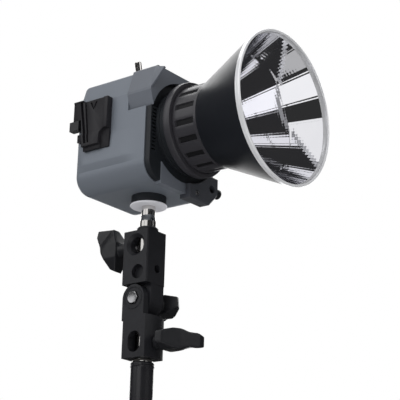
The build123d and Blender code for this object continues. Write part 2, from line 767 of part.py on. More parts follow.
def cone_profile(inset, back_y, front_y, thick):
    """Half section of a cone wall, inset under the reflector's outer face."""
    slope = (CONE_FRONT_R - CONE_BACK_R) / (NECK_FRONT_Y - CONE_FRONT_Y)
    back = CONE_BACK_R - inset + (NECK_FRONT_Y - back_y) * slope
    front = CONE_BACK_R - inset + (NECK_FRONT_Y - front_y) * slope
    with BuildSketch() as profile:
        with BuildLine():
            Polyline(
                (back - thick, -back_y),
                (back, -back_y),
                (front, -front_y),
                (front - thick, -front_y),
                close=True,
            )
        make_face()
    return profile.sketch


beam_section = Plane(origin=(0, 0, AXIS_Z), x_dir=(1, 0, 0), z_dir=(0, 0, -1))
light_axis = Axis((0, 0, AXIS_Z), (0, -1, 0))
with BuildPart() as reflector_cone:
    with BuildSketch(beam_section):
        add(cone_profile(0, NECK_FRONT_Y, CONE_FRONT_Y, CONE_T))
    revolve(axis=light_axis)
save(reflector_cone, "reflector_cone")

with BuildPart() as mirror_liner:
    with BuildSketch(beam_section):
        add(cone_profile(CONE_T, NECK_FRONT_Y, CONE_FRONT_Y, LINER_T))
    revolve(axis=light_axis)
save(mirror_liner, "mirror_liner")

with BuildPart() as rim_ring:
    with BuildSketch(beam_section):
        with BuildLine():
            Polyline(
                (CONE_FRONT_R - CONE_T - LINER_T, -CONE_FRONT_Y),
                (CONE_FRONT_R, -CONE_FRONT_Y),
                (RIM_R, -RIM_FRONT_Y - 2.5),
                (RIM_R, -RIM_FRONT_Y - 0.8),
                (RIM_R - 0.8, -RIM_FRONT_Y),
                (RIM_R - 2.4, -RIM_FRONT_Y),
                close=True,
            )
        make_face()
    revolve(axis=light_axis)
save(rim_ring, "rim_ring")

# ================================================================ light engine and cooling
with BuildPart() as engine_seat:
    with BuildSketch(front_plane(SEAT_Y)):
        Circle(PORT_R - 4)
    extrude(amount=SEAT_T)
save(engine_seat, "engine_seat")

COB_Y = SEAT_Y - SEAT_T
with BuildPart() as light_chip:
    with BuildSketch(front_plane(COB_Y)):
        Rectangle(COB_SIZE, COB_SIZE)
    extrude(amount=COB_T)
    with BuildSketch(front_plane(COB_Y - COB_T)):
        Circle(COB_R)
    extrude(amount=0.8)
save(light_chip, "light_chip")

with BuildPart() as chip_holder:
    with BuildSketch(front_plane(COB_Y)):
        Circle(HOLDER_R)
        Rectangle(COB_SIZE + 2 * SEAT, COB_SIZE + 2 * SEAT, mode=Mode.SUBTRACT)
    extrude(amount=COB_T)
    with BuildSketch(front_plane(COB_Y - COB_T)):
        Circle(HOLDER_R)
        Circle(COB_R + 0.5, mode=Mode.SUBTRACT)
    extrude(amount=HOLDER_T - COB_T)
save(chip_holder, "chip_holder")

with BuildPart() as light_cup:
    with BuildSketch(beam_section):
        with BuildLine():
            Polyline(
                (COB_R + 1, -COB_Y + HOLDER_T),
                (PORT_R - 5, -GLASS_Y - GLASS_T),
                (PORT_R, -GLASS_Y - GLASS_T),
                (PORT_R, -GLASS_Y - GLASS_T - 1.2),
                (PORT_R - 3.6, -GLASS_Y - GLASS_T - 1.2),
                (COB_R + 2.2, -COB_Y + HOLDER_T),
                close=True,
            )
        make_face()
    revolve(axis=light_axis)
save(light_cup, "light_cup")

with BuildPart() as heat_sink:
    with BuildSketch(front_plane(SEAT_Y + SINK_BASE)):
        Rectangle(2 * SINK_X, 2 * SINK_Z)
    extrude(amount=SINK_BASE)
    with BuildSketch(front_plane(SINK_BACK_Y)):
        with GridLocations(FIN_PITCH, 0, FIN_COUNT, 1):
            Rectangle(FIN_T, 2 * SINK_Z)
    extrude(amount=SINK_BACK_Y - SEAT_Y - SINK_BASE)
save(heat_sink, "heat_sink")

RAIL_SIDE_X = BODY_X - WALL
with BuildPart() as chassis_rails:
    for side in (-1, 1):
        with BuildSketch(Plane.XY.offset(AXIS_Z - 4)):
            with BuildLine():
                Polyline(
                    (side * SINK_X, SEAT_Y),
                    (side * RAIL_SIDE_X, SEAT_Y),
                    (side * RAIL_SIDE_X, FAN_Y + FAN_T),
                    (side * FAN_SIZE / 2, FAN_Y + FAN_T),
                    (side * FAN_SIZE / 2, SEAT_Y + SINK_BASE),
                    (side * SINK_X, SEAT_Y + SINK_BASE),
                    close=True,
                )
            make_face()
        extrude(amount=8)
save(chassis_rails, "chassis_rails")

FAN_BACK_Y = FAN_Y + FAN_T
with BuildPart() as fan_frame:
    with BuildSketch(front_plane(FAN_BACK_Y)):
        RectangleRounded(FAN_SIZE, FAN_SIZE, 4)
        Circle(FAN_BORE_R, mode=Mode.SUBTRACT)
    extrude(amount=FAN_T)
    with BuildSketch(front_plane(FAN_BACK_Y)):
        Circle(FAN_HUB_R)
        with PolarLocations(0, 4, start_angle=45):
            Rectangle(FAN_BORE_R + 1, 3, align=(Align.MIN, Align.CENTER))
    extrude(amount=FAN_SPIDER_T)
    with BuildSketch(front_plane(FAN_BACK_Y - FAN_SPIDER_T)):
        Circle(FAN_PIN_R)
    extrude(amount=FAN_PIN_L)
save(fan_frame, "fan_frame")

with BuildPart() as fan_rotor:
    with BuildSketch(front_plane(FAN_BACK_Y - FAN_SPIDER_T - GAP)):
        Circle(FAN_HUB_R)
    extrude(amount=FAN_T - 2 * FAN_SPIDER_T)
    with Locations(front_plane(FAN_Y + FAN_T / 2 - 1)):
        with PolarLocations(FAN_HUB_R - 1, FAN_BLADES):
            Box(
                FAN_BORE_R - FAN_HUB_R,
                FAN_BLADE_W,
                FAN_BLADE_T,
                rotation=(FAN_PITCH, 0, 0),
                align=(Align.MIN, Align.CENTER, Align.CENTER),
            )
    with BuildSketch(front_plane(FAN_BACK_Y)):
        Circle(FAN_PIN_R + RUN)
    extrude(amount=FAN_SPIDER_T + FAN_PIN_L + 2 * GAP, mode=Mode.SUBTRACT)
save(fan_rotor, "fan_rotor")

BOARD_TOP_UP = TOP_UP - WALL - STANDOFF_H
with BuildPart() as driver_board:
    with BuildSketch(Plane.XY.offset(AXIS_Z + BOARD_TOP_UP)):
        with Locations((0, (BOARD_FRONT_Y + BOARD_BACK_Y) / 2)):
            Rectangle(2 * BOARD_X, BOARD_BACK_Y - BOARD_FRONT_Y)
    extrude(amount=-BOARD_T)
save(driver_board, "driver_board")

with BuildPart() as board_standoffs:
    with BuildSketch(Plane.XY.offset(AXIS_Z + BOARD_TOP_UP)):
        with Locations((0, (BOARD_FRONT_Y + BOARD_BACK_Y) / 2)):
            with GridLocations(2 * BOARD_X - 10, BOARD_BACK_Y - BOARD_FRONT_Y - 10, 2, 2):
                RegularPolygon(STANDOFF_R, 6)
    extrude(amount=STANDOFF_H)
save(board_standoffs, "board_standoffs")

with BuildPart() as board_parts:
    with BuildSketch(Plane.XY.offset(AXIS_Z + BOARD_TOP_UP - BOARD_T)):
        with Locations((-18, 4)):
            Rectangle(16, 14)
        with Locations((4, 4), (18, 4)):
            Circle(5)
    extrude(amount=-7)
save(board_parts, "board_parts")


# ================================================================ rear panel and controls
def rear_plane(y, up=0.0, x=0.0):
    """Plane square to the beam, looking back: local x is -X and local y is +Z."""
    return Plane(origin=(x, y, AXIS_Z + up), x_dir=(-1, 0, 0), z_dir=(0, 1, 0))


def rocker_plane(x):
    """Plane across the rocker's pin: local x is +Y and local y is +Z."""
    return Plane(origin=(x, ROCKER_AXIS_Y, AXIS_Z + LOW_ROW_UP), x_dir=(0, 1, 0), z_dir=(1, 0, 0))


PANEL_Y0 = REAR_Y - REAR_WALL - PANEL_LIP_T
PANEL_FACE_Y = REAR_Y - 0.5
with BuildPart() as rear_panel:
    with BuildSketch(rear_plane(PANEL_Y0)):
        RectangleRounded(2 * (PANEL_X + PANEL_LIP), 2 * (PANEL_Z + PANEL_LIP), PANEL_R)
    extrude(amount=PANEL_LIP_T)
    with BuildSketch(rear_plane(PANEL_Y0)):
        RectangleRounded(2 * (PANEL_X - SEAT), 2 * (PANEL_Z - SEAT), PANEL_R)
    extrude(amount=PANEL_FACE_Y - PANEL_Y0)
    with BuildSketch(rear_plane(PANEL_Y0, DISPLAY_UP)):
        RectangleRounded(DISPLAY_W, DISPLAY_H, 2)
    extrude(amount=PANEL_FACE_Y - PANEL_Y0, mode=Mode.SUBTRACT)
    with BuildSketch(rear_plane(PANEL_Y0, KNOB_UP)):
        with Locations((-KNOB_X, 0), (KNOB_X, 0)):
            Circle(SHAFT_R + RUN)
    extrude(amount=PANEL_FACE_Y - PANEL_Y0, mode=Mode.SUBTRACT)
    with BuildSketch(rear_plane(PANEL_Y0, BUTTON_UP)):
        with Locations((-KNOB_X, 0), (KNOB_X, 0)):
            Circle(BUTTON_R + GAP)
    extrude(amount=PANEL_FACE_Y - PANEL_Y0, mode=Mode.SUBTRACT)
    with BuildSketch(rear_plane(PANEL_Y0, LOW_ROW_UP)):
        with Locations((KNOB_X, 0)):
            Rectangle(ROCKER_W, ROCKER_H)
        with Locations((-KNOB_X, 0)):
            Circle(INLET_R)
    extrude(amount=PANEL_FACE_Y - PANEL_Y0, mode=Mode.SUBTRACT)
    with BuildSketch(rear_plane(PANEL_Y0)):
        with GridLocations(2 * SCREW_X, 2 * SCREW_UP, 2, 2):
            Circle(SCREW_R)
    extrude(amount=PANEL_LIP_T, mode=Mode.SUBTRACT)
save(rear_panel, "rear_panel")

with BuildPart() as panel_screws:
    with BuildSketch(rear_plane(PANEL_Y0)):
        with GridLocations(2 * SCREW_X, 2 * SCREW_UP, 2, 2):
            Circle(SCREW_R)
    extrude(amount=REAR_Y - PANEL_Y0)
    with BuildSketch(rear_plane(REAR_Y)):
        with GridLocations(2 * SCREW_X, 2 * SCREW_UP, 2, 2):
            Circle(SCREW_HEAD_R)
    extrude(amount=SCREW_HEAD_T)
save(panel_screws, "panel_screws")

with BuildPart() as control_pots:
    with BuildSketch(rear_plane(PANEL_Y0, KNOB_UP)):
        with Locations((-KNOB_X, 0), (KNOB_X, 0)):
            RectangleRounded(POT_SIZE, POT_SIZE, 2)
    extrude(amount=-POT_T)
    with BuildSketch(rear_plane(PANEL_Y0, KNOB_UP)):
        with Locations((-KNOB_X, 0), (KNOB_X, 0)):
            Circle(SHAFT_R + RUN)
    extrude(amount=-SHAFT_IN - GAP, mode=Mode.SUBTRACT)
save(control_pots, "control_pots")

with BuildPart() as display_window:
    with BuildSketch(rear_plane(PANEL_Y0)):
        with Locations((0, DISPLAY_UP)):
            RectangleRounded(DISPLAY_W, DISPLAY_H, 2)
    extrude(amount=PANEL_FACE_Y - PANEL_Y0 - 0.4)
save(display_window, "display_window")


def rear_knob(name, x):
    """A fluted knob on a shaft that turns in the panel."""
    with BuildPart() as knob:
        with BuildSketch(rear_plane(PANEL_FACE_Y + GAP, KNOB_UP, x)):
            Circle(KNOB_R)
        extrude(amount=KNOB_H)
        chamfer(knob.edges().group_by(Axis.Y)[-1], 1.0)
        with BuildSketch(rear_plane(PANEL_Y0 - SHAFT_IN, KNOB_UP, x)):
            Circle(SHAFT_R)
        extrude(amount=PANEL_FACE_Y + GAP - PANEL_Y0 + SHAFT_IN)
    save(knob, name)


def rear_button(name, x):
    """A round push button with a flange behind the panel that stops it falling out."""
    with BuildPart() as button:
        with BuildSketch(rear_plane(PANEL_Y0 - 1.5 - GAP, BUTTON_UP, x)):
            Circle(BUTTON_R + 1.5)
        extrude(amount=1.5)
        with BuildSketch(rear_plane(PANEL_Y0 - GAP, BUTTON_UP, x)):
            Circle(BUTTON_R)
        extrude(amount=PANEL_FACE_Y + BUTTON_OUT - PANEL_Y0 + GAP)
        chamfer(button.edges().group_by(Axis.Y)[-1], 0.5)
    save(button, name)


rear_knob("dimmer_knob", KNOB_X)
rear_knob("colour_knob", -KNOB_X)
rear_button("mode_button", KNOB_X)
rear_button("fan_button", -KNOB_X)

# The rocker and the inlet sit in the low row, each in its own frame.
ROCKER_AXIS_Y = PANEL_Y0 - 1
INLET_PROUD = 1.0
with BuildPart() as rocker_frame:
    with BuildSketch(rear_plane(PANEL_Y0 - ROCKER_DEPTH, LOW_ROW_UP, -KNOB_X)):
        Rectangle(ROCKER_W, ROCKER_H)
        Rectangle(ROCKER_W - 2 * ROCKER_WALL, ROCKER_H - 2 * ROCKER_WALL, mode=Mode.SUBTRACT)
    extrude(amount=PANEL_FACE_Y - PANEL_Y0 + ROCKER_DEPTH + INLET_PROUD)
    with BuildSketch(rear_plane(PANEL_Y0 - ROCKER_DEPTH, LOW_ROW_UP, -KNOB_X)):
        Rectangle(ROCKER_W, ROCKER_H)
    extrude(amount=ROCKER_WALL)
    with BuildSketch(rocker_plane(-KNOB_X - ROCKER_W / 2)):
        Circle(ROCKER_PIN_R)
    extrude(amount=ROCKER_W)
save(rocker_frame, "rocker_frame")

with BuildPart() as power_rocker:
    with BuildSketch(rocker_plane(-KNOB_X)):
        with BuildLine():
            Polyline(
                (-ROCKER_BACK, -ROCKER_BACK),
                (ROCKER_FRONT, -ROCKER_HALF),
                (ROCKER_DIP, 0),
                (ROCKER_FRONT, ROCKER_HALF),
                (-ROCKER_BACK, ROCKER_BACK),
                close=True,
            )
        make_face()
        Circle(ROCKER_PIN_R + RUN, mode=Mode.SUBTRACT)
    extrude(amount=ROCKER_W / 2 - ROCKER_WALL - GAP, both=True)
save(power_rocker, "power_rocker")

with BuildPart() as power_inlet:
    with BuildSketch(rear_plane(PANEL_Y0 - ROCKER_DEPTH, LOW_ROW_UP, KNOB_X)):
        Circle(INLET_R)
    extrude(amount=PANEL_FACE_Y - PANEL_Y0 + ROCKER_DEPTH + INLET_PROUD)
    with BuildSketch(rear_plane(PANEL_FACE_Y + INLET_PROUD, LOW_ROW_UP, KNOB_X)):
        Circle(INLET_R - INLET_WALL)
    extrude(amount=-INLET_D, mode=Mode.SUBTRACT)
save(power_inlet, "power_inlet")

with BuildPart() as inlet_pins:
    with BuildSketch(rear_plane(PANEL_FACE_Y + INLET_PROUD - INLET_D, LOW_ROW_UP, KNOB_X)):
        with PolarLocations(INLET_PIN_PCR, INLET_PINS, start_angle=45):
            Circle(INLET_PIN_R)
    extrude(amount=INLET_D - 2)
save(inlet_pins, "inlet_pins")


# ================================================================ battery wedge plate
def umbrella_screw_plane(x):
    """Plane across the umbrella clamp screw, looking to +X."""
    return Plane(
        origin=(x, (FRONT_Y + HOLDER_FRONT_Y) / 2, AXIS_Z + UMBRELLA_AXIS), x_dir=(0, 1, 0), z_dir=(1, 0, 0)
    )


def side_plane(out):
    """Plane on the body's left side, out from its face: local x is -Y and local y is +Z."""
    return Plane(origin=(-BODY_X - out, 0, AXIS_Z), x_dir=(0, -1, 0), z_dir=(-1, 0, 0))


PLATE_LOW_UP = PLATE_TOP_UP - PLATE_H
PLATE_MID_UP = PLATE_TOP_UP - PLATE_H / 2
PLATE_LOW_BACK_Y = PLATE_BACK_Y - PLATE_TAPER
GROOVE_LEAN = degrees(atan2(GROOVE_SHIFT, PLATE_H))
LATCH_Y = (PLATE_BACK_Y + LATCH_BOX_Y) / 2
with BuildPart() as wedge_plate:
    with BuildSketch(side_plane(0)):
        with BuildLine():
            Polyline(
                (-PLATE_FRONT_Y, PLATE_LOW_UP),
                (-PLATE_FRONT_Y, PLATE_TOP_UP),
                (-PLATE_BACK_Y, PLATE_TOP_UP),
                (-PLATE_LOW_BACK_Y, PLATE_LOW_UP),
                close=True,
            )
        make_face()
    extrude(amount=PLATE_T + RAIL_T)
    with BuildSketch(side_plane(PLATE_T)):
        with Locations((-GROOVE_1_Y, PLATE_MID_UP), (-GROOVE_2_Y, PLATE_MID_UP)):
            Rectangle(GROOVE_W, 2 * PLATE_H, rotation=-GROOVE_LEAN)
        with Locations((-PLATE_FRONT_Y, PLATE_LOW_UP)):
            Rectangle(NOTCH_W, NOTCH_H, align=(Align.MAX, Align.MIN))
    extrude(amount=RAIL_T, mode=Mode.SUBTRACT)
    with BuildSketch(side_plane(0)):
        with Locations((-LATCH_BOX_Y, LATCH_BOX_UP)):
            Rectangle(LATCH_BOX_Y - PLATE_BACK_Y + LATCH_LAP, LATCH_BOX_H, align=(Align.MIN, Align.MIN))
        with Locations((-PLATE_LOW_BACK_Y, CONTACT_UP)):
            Rectangle(CONTACT_BACK_Y - PLATE_LOW_BACK_Y, CONTACT_H, align=(Align.MAX, Align.MIN))
    extrude(amount=PLATE_T + RAIL_T)
    with BuildSketch(side_plane(0)):
        with Locations((-LATCH_Y, LATCH_BOX_UP)):
            Rectangle(LATCH_STEM_W + 2 * GAP, LATCH_POCKET_H, align=(Align.CENTER, Align.MIN))
        with Locations((-LATCH_Y, LATCH_BOX_UP + LATCH_THROAT)):
            Rectangle(LATCH_HEAD_W + 2 * GAP, LATCH_POCKET_H - LATCH_THROAT, align=(Align.CENTER, Align.MIN))
    extrude(amount=LATCH_X + 2 * GAP, mode=Mode.SUBTRACT)
save(wedge_plate, "wedge_plate")

LATCH_HEAD_UP = LATCH_BOX_UP + LATCH_THROAT + LATCH_STROKE + GAP
with BuildPart() as wedge_latch:
    with BuildSketch(side_plane(GAP)):
        with Locations((-LATCH_Y, LATCH_TAB_UP)):
            Rectangle(LATCH_STEM_W, LATCH_HEAD_UP - LATCH_TAB_UP + 1, align=(Align.CENTER, Align.MIN))
        with Locations((-LATCH_Y, LATCH_HEAD_UP)):
            Rectangle(LATCH_HEAD_W, LATCH_HEAD_H, align=(Align.CENTER, Align.MIN))
        with Locations((-PLATE_BACK_Y - GAP, LATCH_TAB_UP)):
            Rectangle(LATCH_OUT_Y - PLATE_BACK_Y - GAP, LATCH_TAB_H, align=(Align.MAX, Align.MIN))
    extrude(amount=LATCH_X)
    with BuildSketch(side_plane(GAP)):
        with Locations((-PLATE_BACK_Y - GAP, LATCH_TAB_UP)):
            Rectangle(LATCH_OUT_Y - PLATE_BACK_Y - GAP, LATCH_TAB_H, align=(Align.MAX, Align.MIN))
    extrude(amount=PLATE_T + RAIL_T - GAP)
save(wedge_latch, "wedge_latch")

# ================================================================ umbrella holder and accessory post
with BuildPart() as umbrella_holder:
    with BuildSketch(front_plane(FRONT_Y)):
        with BuildLine():
            Polyline(
                (HOLDER_X0, HOLDER_TOP_UP),
                (HOLDER_X0, HOLDER_LOW_UP),
                (HOLDER_X1 - HOLDER_CORNER, HOLDER_LOW_UP),
                (HOLDER_X1, HOLDER_LOW_UP + HOLDER_CORNER),
                (HOLDER_X1, HOLDER_TOP_UP),
                close=True,
            )
        make_face()
        Circle(SADDLE_OPEN_R, mode=Mode.SUBTRACT)
        with Locations((UMBRELLA_X, UMBRELLA_AXIS)):
            Circle(UMBRELLA_R, mode=Mode.SUBTRACT)
    extrude(amount=FRONT_Y - HOLDER_FRONT_Y)
    chamfer(umbrella_holder.faces().sort_by(Axis.Y)[0].outer_wire().edges(), 1.0)
    with BuildSketch(front_plane(HOLDER_FRONT_Y, HOLDER_SCREW_UP, HOLDER_SCREW_X)):
        Circle(HOLDER_SCREW_R)
    extrude(amount=-HOLDER_SCREW_D, mode=Mode.SUBTRACT)
    with BuildSketch(umbrella_screw_plane(UMBRELLA_X)):
        Circle(THUMB_R + RUN)
    extrude(amount=HOLDER_X1 - UMBRELLA_X, mode=Mode.SUBTRACT)
save(umbrella_holder, "umbrella_holder")

with BuildPart() as holder_screw:
    with BuildSketch(front_plane(HOLDER_FRONT_Y + HOLDER_SCREW_D, HOLDER_SCREW_UP, HOLDER_SCREW_X)):
        Circle(HOLDER_SCREW_R)
    extrude(amount=HOLDER_SCREW_D + HOLDER_SCREW_PROUD)
    chamfer(holder_screw.edges().group_by(Axis.Y)[0], HOLDER_SCREW_PROUD / 2)
save(holder_screw, "holder_screw")

with BuildPart() as umbrella_tube:
    with BuildSketch(front_plane(FRONT_Y)):
        with Locations((UMBRELLA_X, UMBRELLA_AXIS)):
            Circle(UMBRELLA_TUBE_R)
            Circle(UMBRELLA_R, mode=Mode.SUBTRACT)
    extrude(amount=-UMBRELLA_L)
save(umbrella_tube, "umbrella_tube")

with BuildPart() as umbrella_screw:
    with BuildSketch(umbrella_screw_plane(UMBRELLA_X + UMBRELLA_R + GAP)):
        Circle(THUMB_R)
    extrude(amount=HOLDER_X1 - UMBRELLA_X - UMBRELLA_R + HANDLE_CLEAR)
    with BuildSketch(umbrella_screw_plane(HOLDER_X1 + HANDLE_CLEAR)):
        Circle(UMBRELLA_SCREW_HEAD_R)
    extrude(amount=UMBRELLA_SCREW_HEAD_T)
    chamfer(umbrella_screw.edges().group_by(Axis.X)[-1], 0.8)
save(umbrella_screw, "umbrella_screw")

post_lean = radians(POST_LEAN)
post_foot = Plane(
    origin=(POST_X, POST_Y, AXIS_Z + TOP_UP + POST_FLANGE_T),
    x_dir=(cos(post_lean), 0, sin(post_lean)),
    z_dir=(-sin(post_lean), 0, cos(post_lean)),
)
with BuildPart() as accessory_post:
    with BuildSketch(post_foot):
        Circle(POST_R)
    extrude(amount=POST_L)
    fillet(accessory_post.faces().sort_by(Axis.Z)[-1].edges(), POST_R / 4)
    with BuildSketch(post_foot):
        Circle(POST_R)
    extrude(amount=-POST_R)
    with BuildSketch(Plane.XY.offset(AXIS_Z + TOP_UP)):
        Rectangle(4 * BODY_X, 4 * BODY_X)
    extrude(amount=-BODY_X, mode=Mode.SUBTRACT)
    with BuildSketch(Plane.XY.offset(AXIS_Z + TOP_UP)):
        with Locations((POST_X, POST_Y)):
            Circle(POST_FLANGE_R)
    extrude(amount=POST_FLANGE_T)
save(accessory_post, "accessory_post")
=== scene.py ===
"""Looks of a compact LED follow spot on its swivel stand bracket, built on the fixed CAD frame."""

import json
import logging
import math
from dataclasses import dataclass, field
from enum import Enum
from typing import Sequence

import bmesh
import bpy
from mathutils import Matrix, Vector

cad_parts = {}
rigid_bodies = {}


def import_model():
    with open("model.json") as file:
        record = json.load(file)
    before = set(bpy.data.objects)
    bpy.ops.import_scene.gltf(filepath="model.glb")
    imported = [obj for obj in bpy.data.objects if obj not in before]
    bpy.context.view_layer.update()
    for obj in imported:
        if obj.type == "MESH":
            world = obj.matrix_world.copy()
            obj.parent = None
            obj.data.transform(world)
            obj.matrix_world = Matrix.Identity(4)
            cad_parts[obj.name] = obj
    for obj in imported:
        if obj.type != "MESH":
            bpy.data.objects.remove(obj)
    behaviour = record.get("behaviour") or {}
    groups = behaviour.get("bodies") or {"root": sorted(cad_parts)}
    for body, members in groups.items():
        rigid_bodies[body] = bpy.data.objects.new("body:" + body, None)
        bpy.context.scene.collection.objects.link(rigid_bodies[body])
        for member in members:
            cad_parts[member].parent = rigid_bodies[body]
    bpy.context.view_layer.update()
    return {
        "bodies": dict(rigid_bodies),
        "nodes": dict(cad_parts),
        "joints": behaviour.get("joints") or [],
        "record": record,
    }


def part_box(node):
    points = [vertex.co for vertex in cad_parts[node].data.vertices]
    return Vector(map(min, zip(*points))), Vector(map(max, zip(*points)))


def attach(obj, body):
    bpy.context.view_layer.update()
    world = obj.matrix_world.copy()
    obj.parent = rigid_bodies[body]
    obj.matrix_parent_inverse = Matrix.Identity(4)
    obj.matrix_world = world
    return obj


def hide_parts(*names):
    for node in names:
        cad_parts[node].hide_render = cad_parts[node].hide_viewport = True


log = logging.getLogger("follow_spot")
MM = 0.001
# Where the bracket's hinge lies along the beam and up, in metres.
BRACKET_HINGE = (0.003, 0.110)
# How far the face's and the rounded edge's normals agree where the lightened edge (scuffs and a painted
# highlight) begins, and where it is full.
WEAR_AND_HIGHLIGHT_AGREEMENT = (0.985, 0.80)
# Noise scale, per metre, that breaks up the scuffs and the painted edge highlight.
WEAR_AND_HIGHLIGHT_SCALE = 450.0
# Distance from a cell's middle, in cells, where a fleck begins, and where it is full.
FLECK_REACH = (0.22, 0.10)


def beam_height() -> float:
    """Height of the beam's axis: the middle of the reflector's rim, to a tenth of a millimetre."""
    low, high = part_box("rim_ring")
    return round((low.z + high.z) / 2, 4)


def rear_face() -> float:
    """Where the body's rear face lies along Y, to a tenth of a millimetre."""
    return round(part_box("body_shell")[1].y, 4)


# ------------------------------------------------------------------ finishes
Colour = tuple[float, float, float]
NodeTree = bpy.types.NodeTree
Socket = bpy.types.NodeSocket
Piece = bpy.types.Object
Outline = Sequence[tuple[float, float]]


def mixed(tree: NodeTree, share: Socket, under: Socket | Colour, over: Socket | Colour) -> Socket:
    """Mix two colours by a share.

    Args:
        tree: the material's nodes.
        share: how much of the second colour shows.
        under: the first colour, or the socket that gives it.
        over: the second.

    Returns:
        The mixed colour's socket.
    """
    mix = tree.nodes.new("ShaderNodeMix")
    mix.data_type = "RGBA"
    tree.links.new(share, mix.inputs["Factor"])
    for name, colour in (("A", under), ("B", over)):
        if isinstance(colour, tuple):
            mix.inputs[name].default_value = (*colour, 1.0)
        else:
            tree.links.new(colour, mix.inputs[name])
    return mix.outputs["Result"]


def remapped(tree: NodeTree, value: Socket, **ends: float) -> Socket:
    """Map a value from one range to another.

    Args:
        tree: the material's nodes.
        value: what is mapped.
        ends: range ends, by input name with spaces as underscores.

    Returns:
        The mapped value's socket.
    """
    span = tree.nodes.new("ShaderNodeMapRange")
    for name, end in ends.items():
        span.inputs[name.replace("_", " ")].default_value = end
    tree.links.new(value, span.inputs["Value"])
    return span.outputs["Result"]


class Grain(Enum):
    """The kind of small relief that a finish carries."""

    ORANGE_PEEL = "orange peel"
    SPARK = "spark eroded"
    BRUSH_UP = "brushed along Z"
    BRUSH_BEAM = "brushed along the beam"
    TURNED = "turned about Z"
    SMOOTH = "smooth"


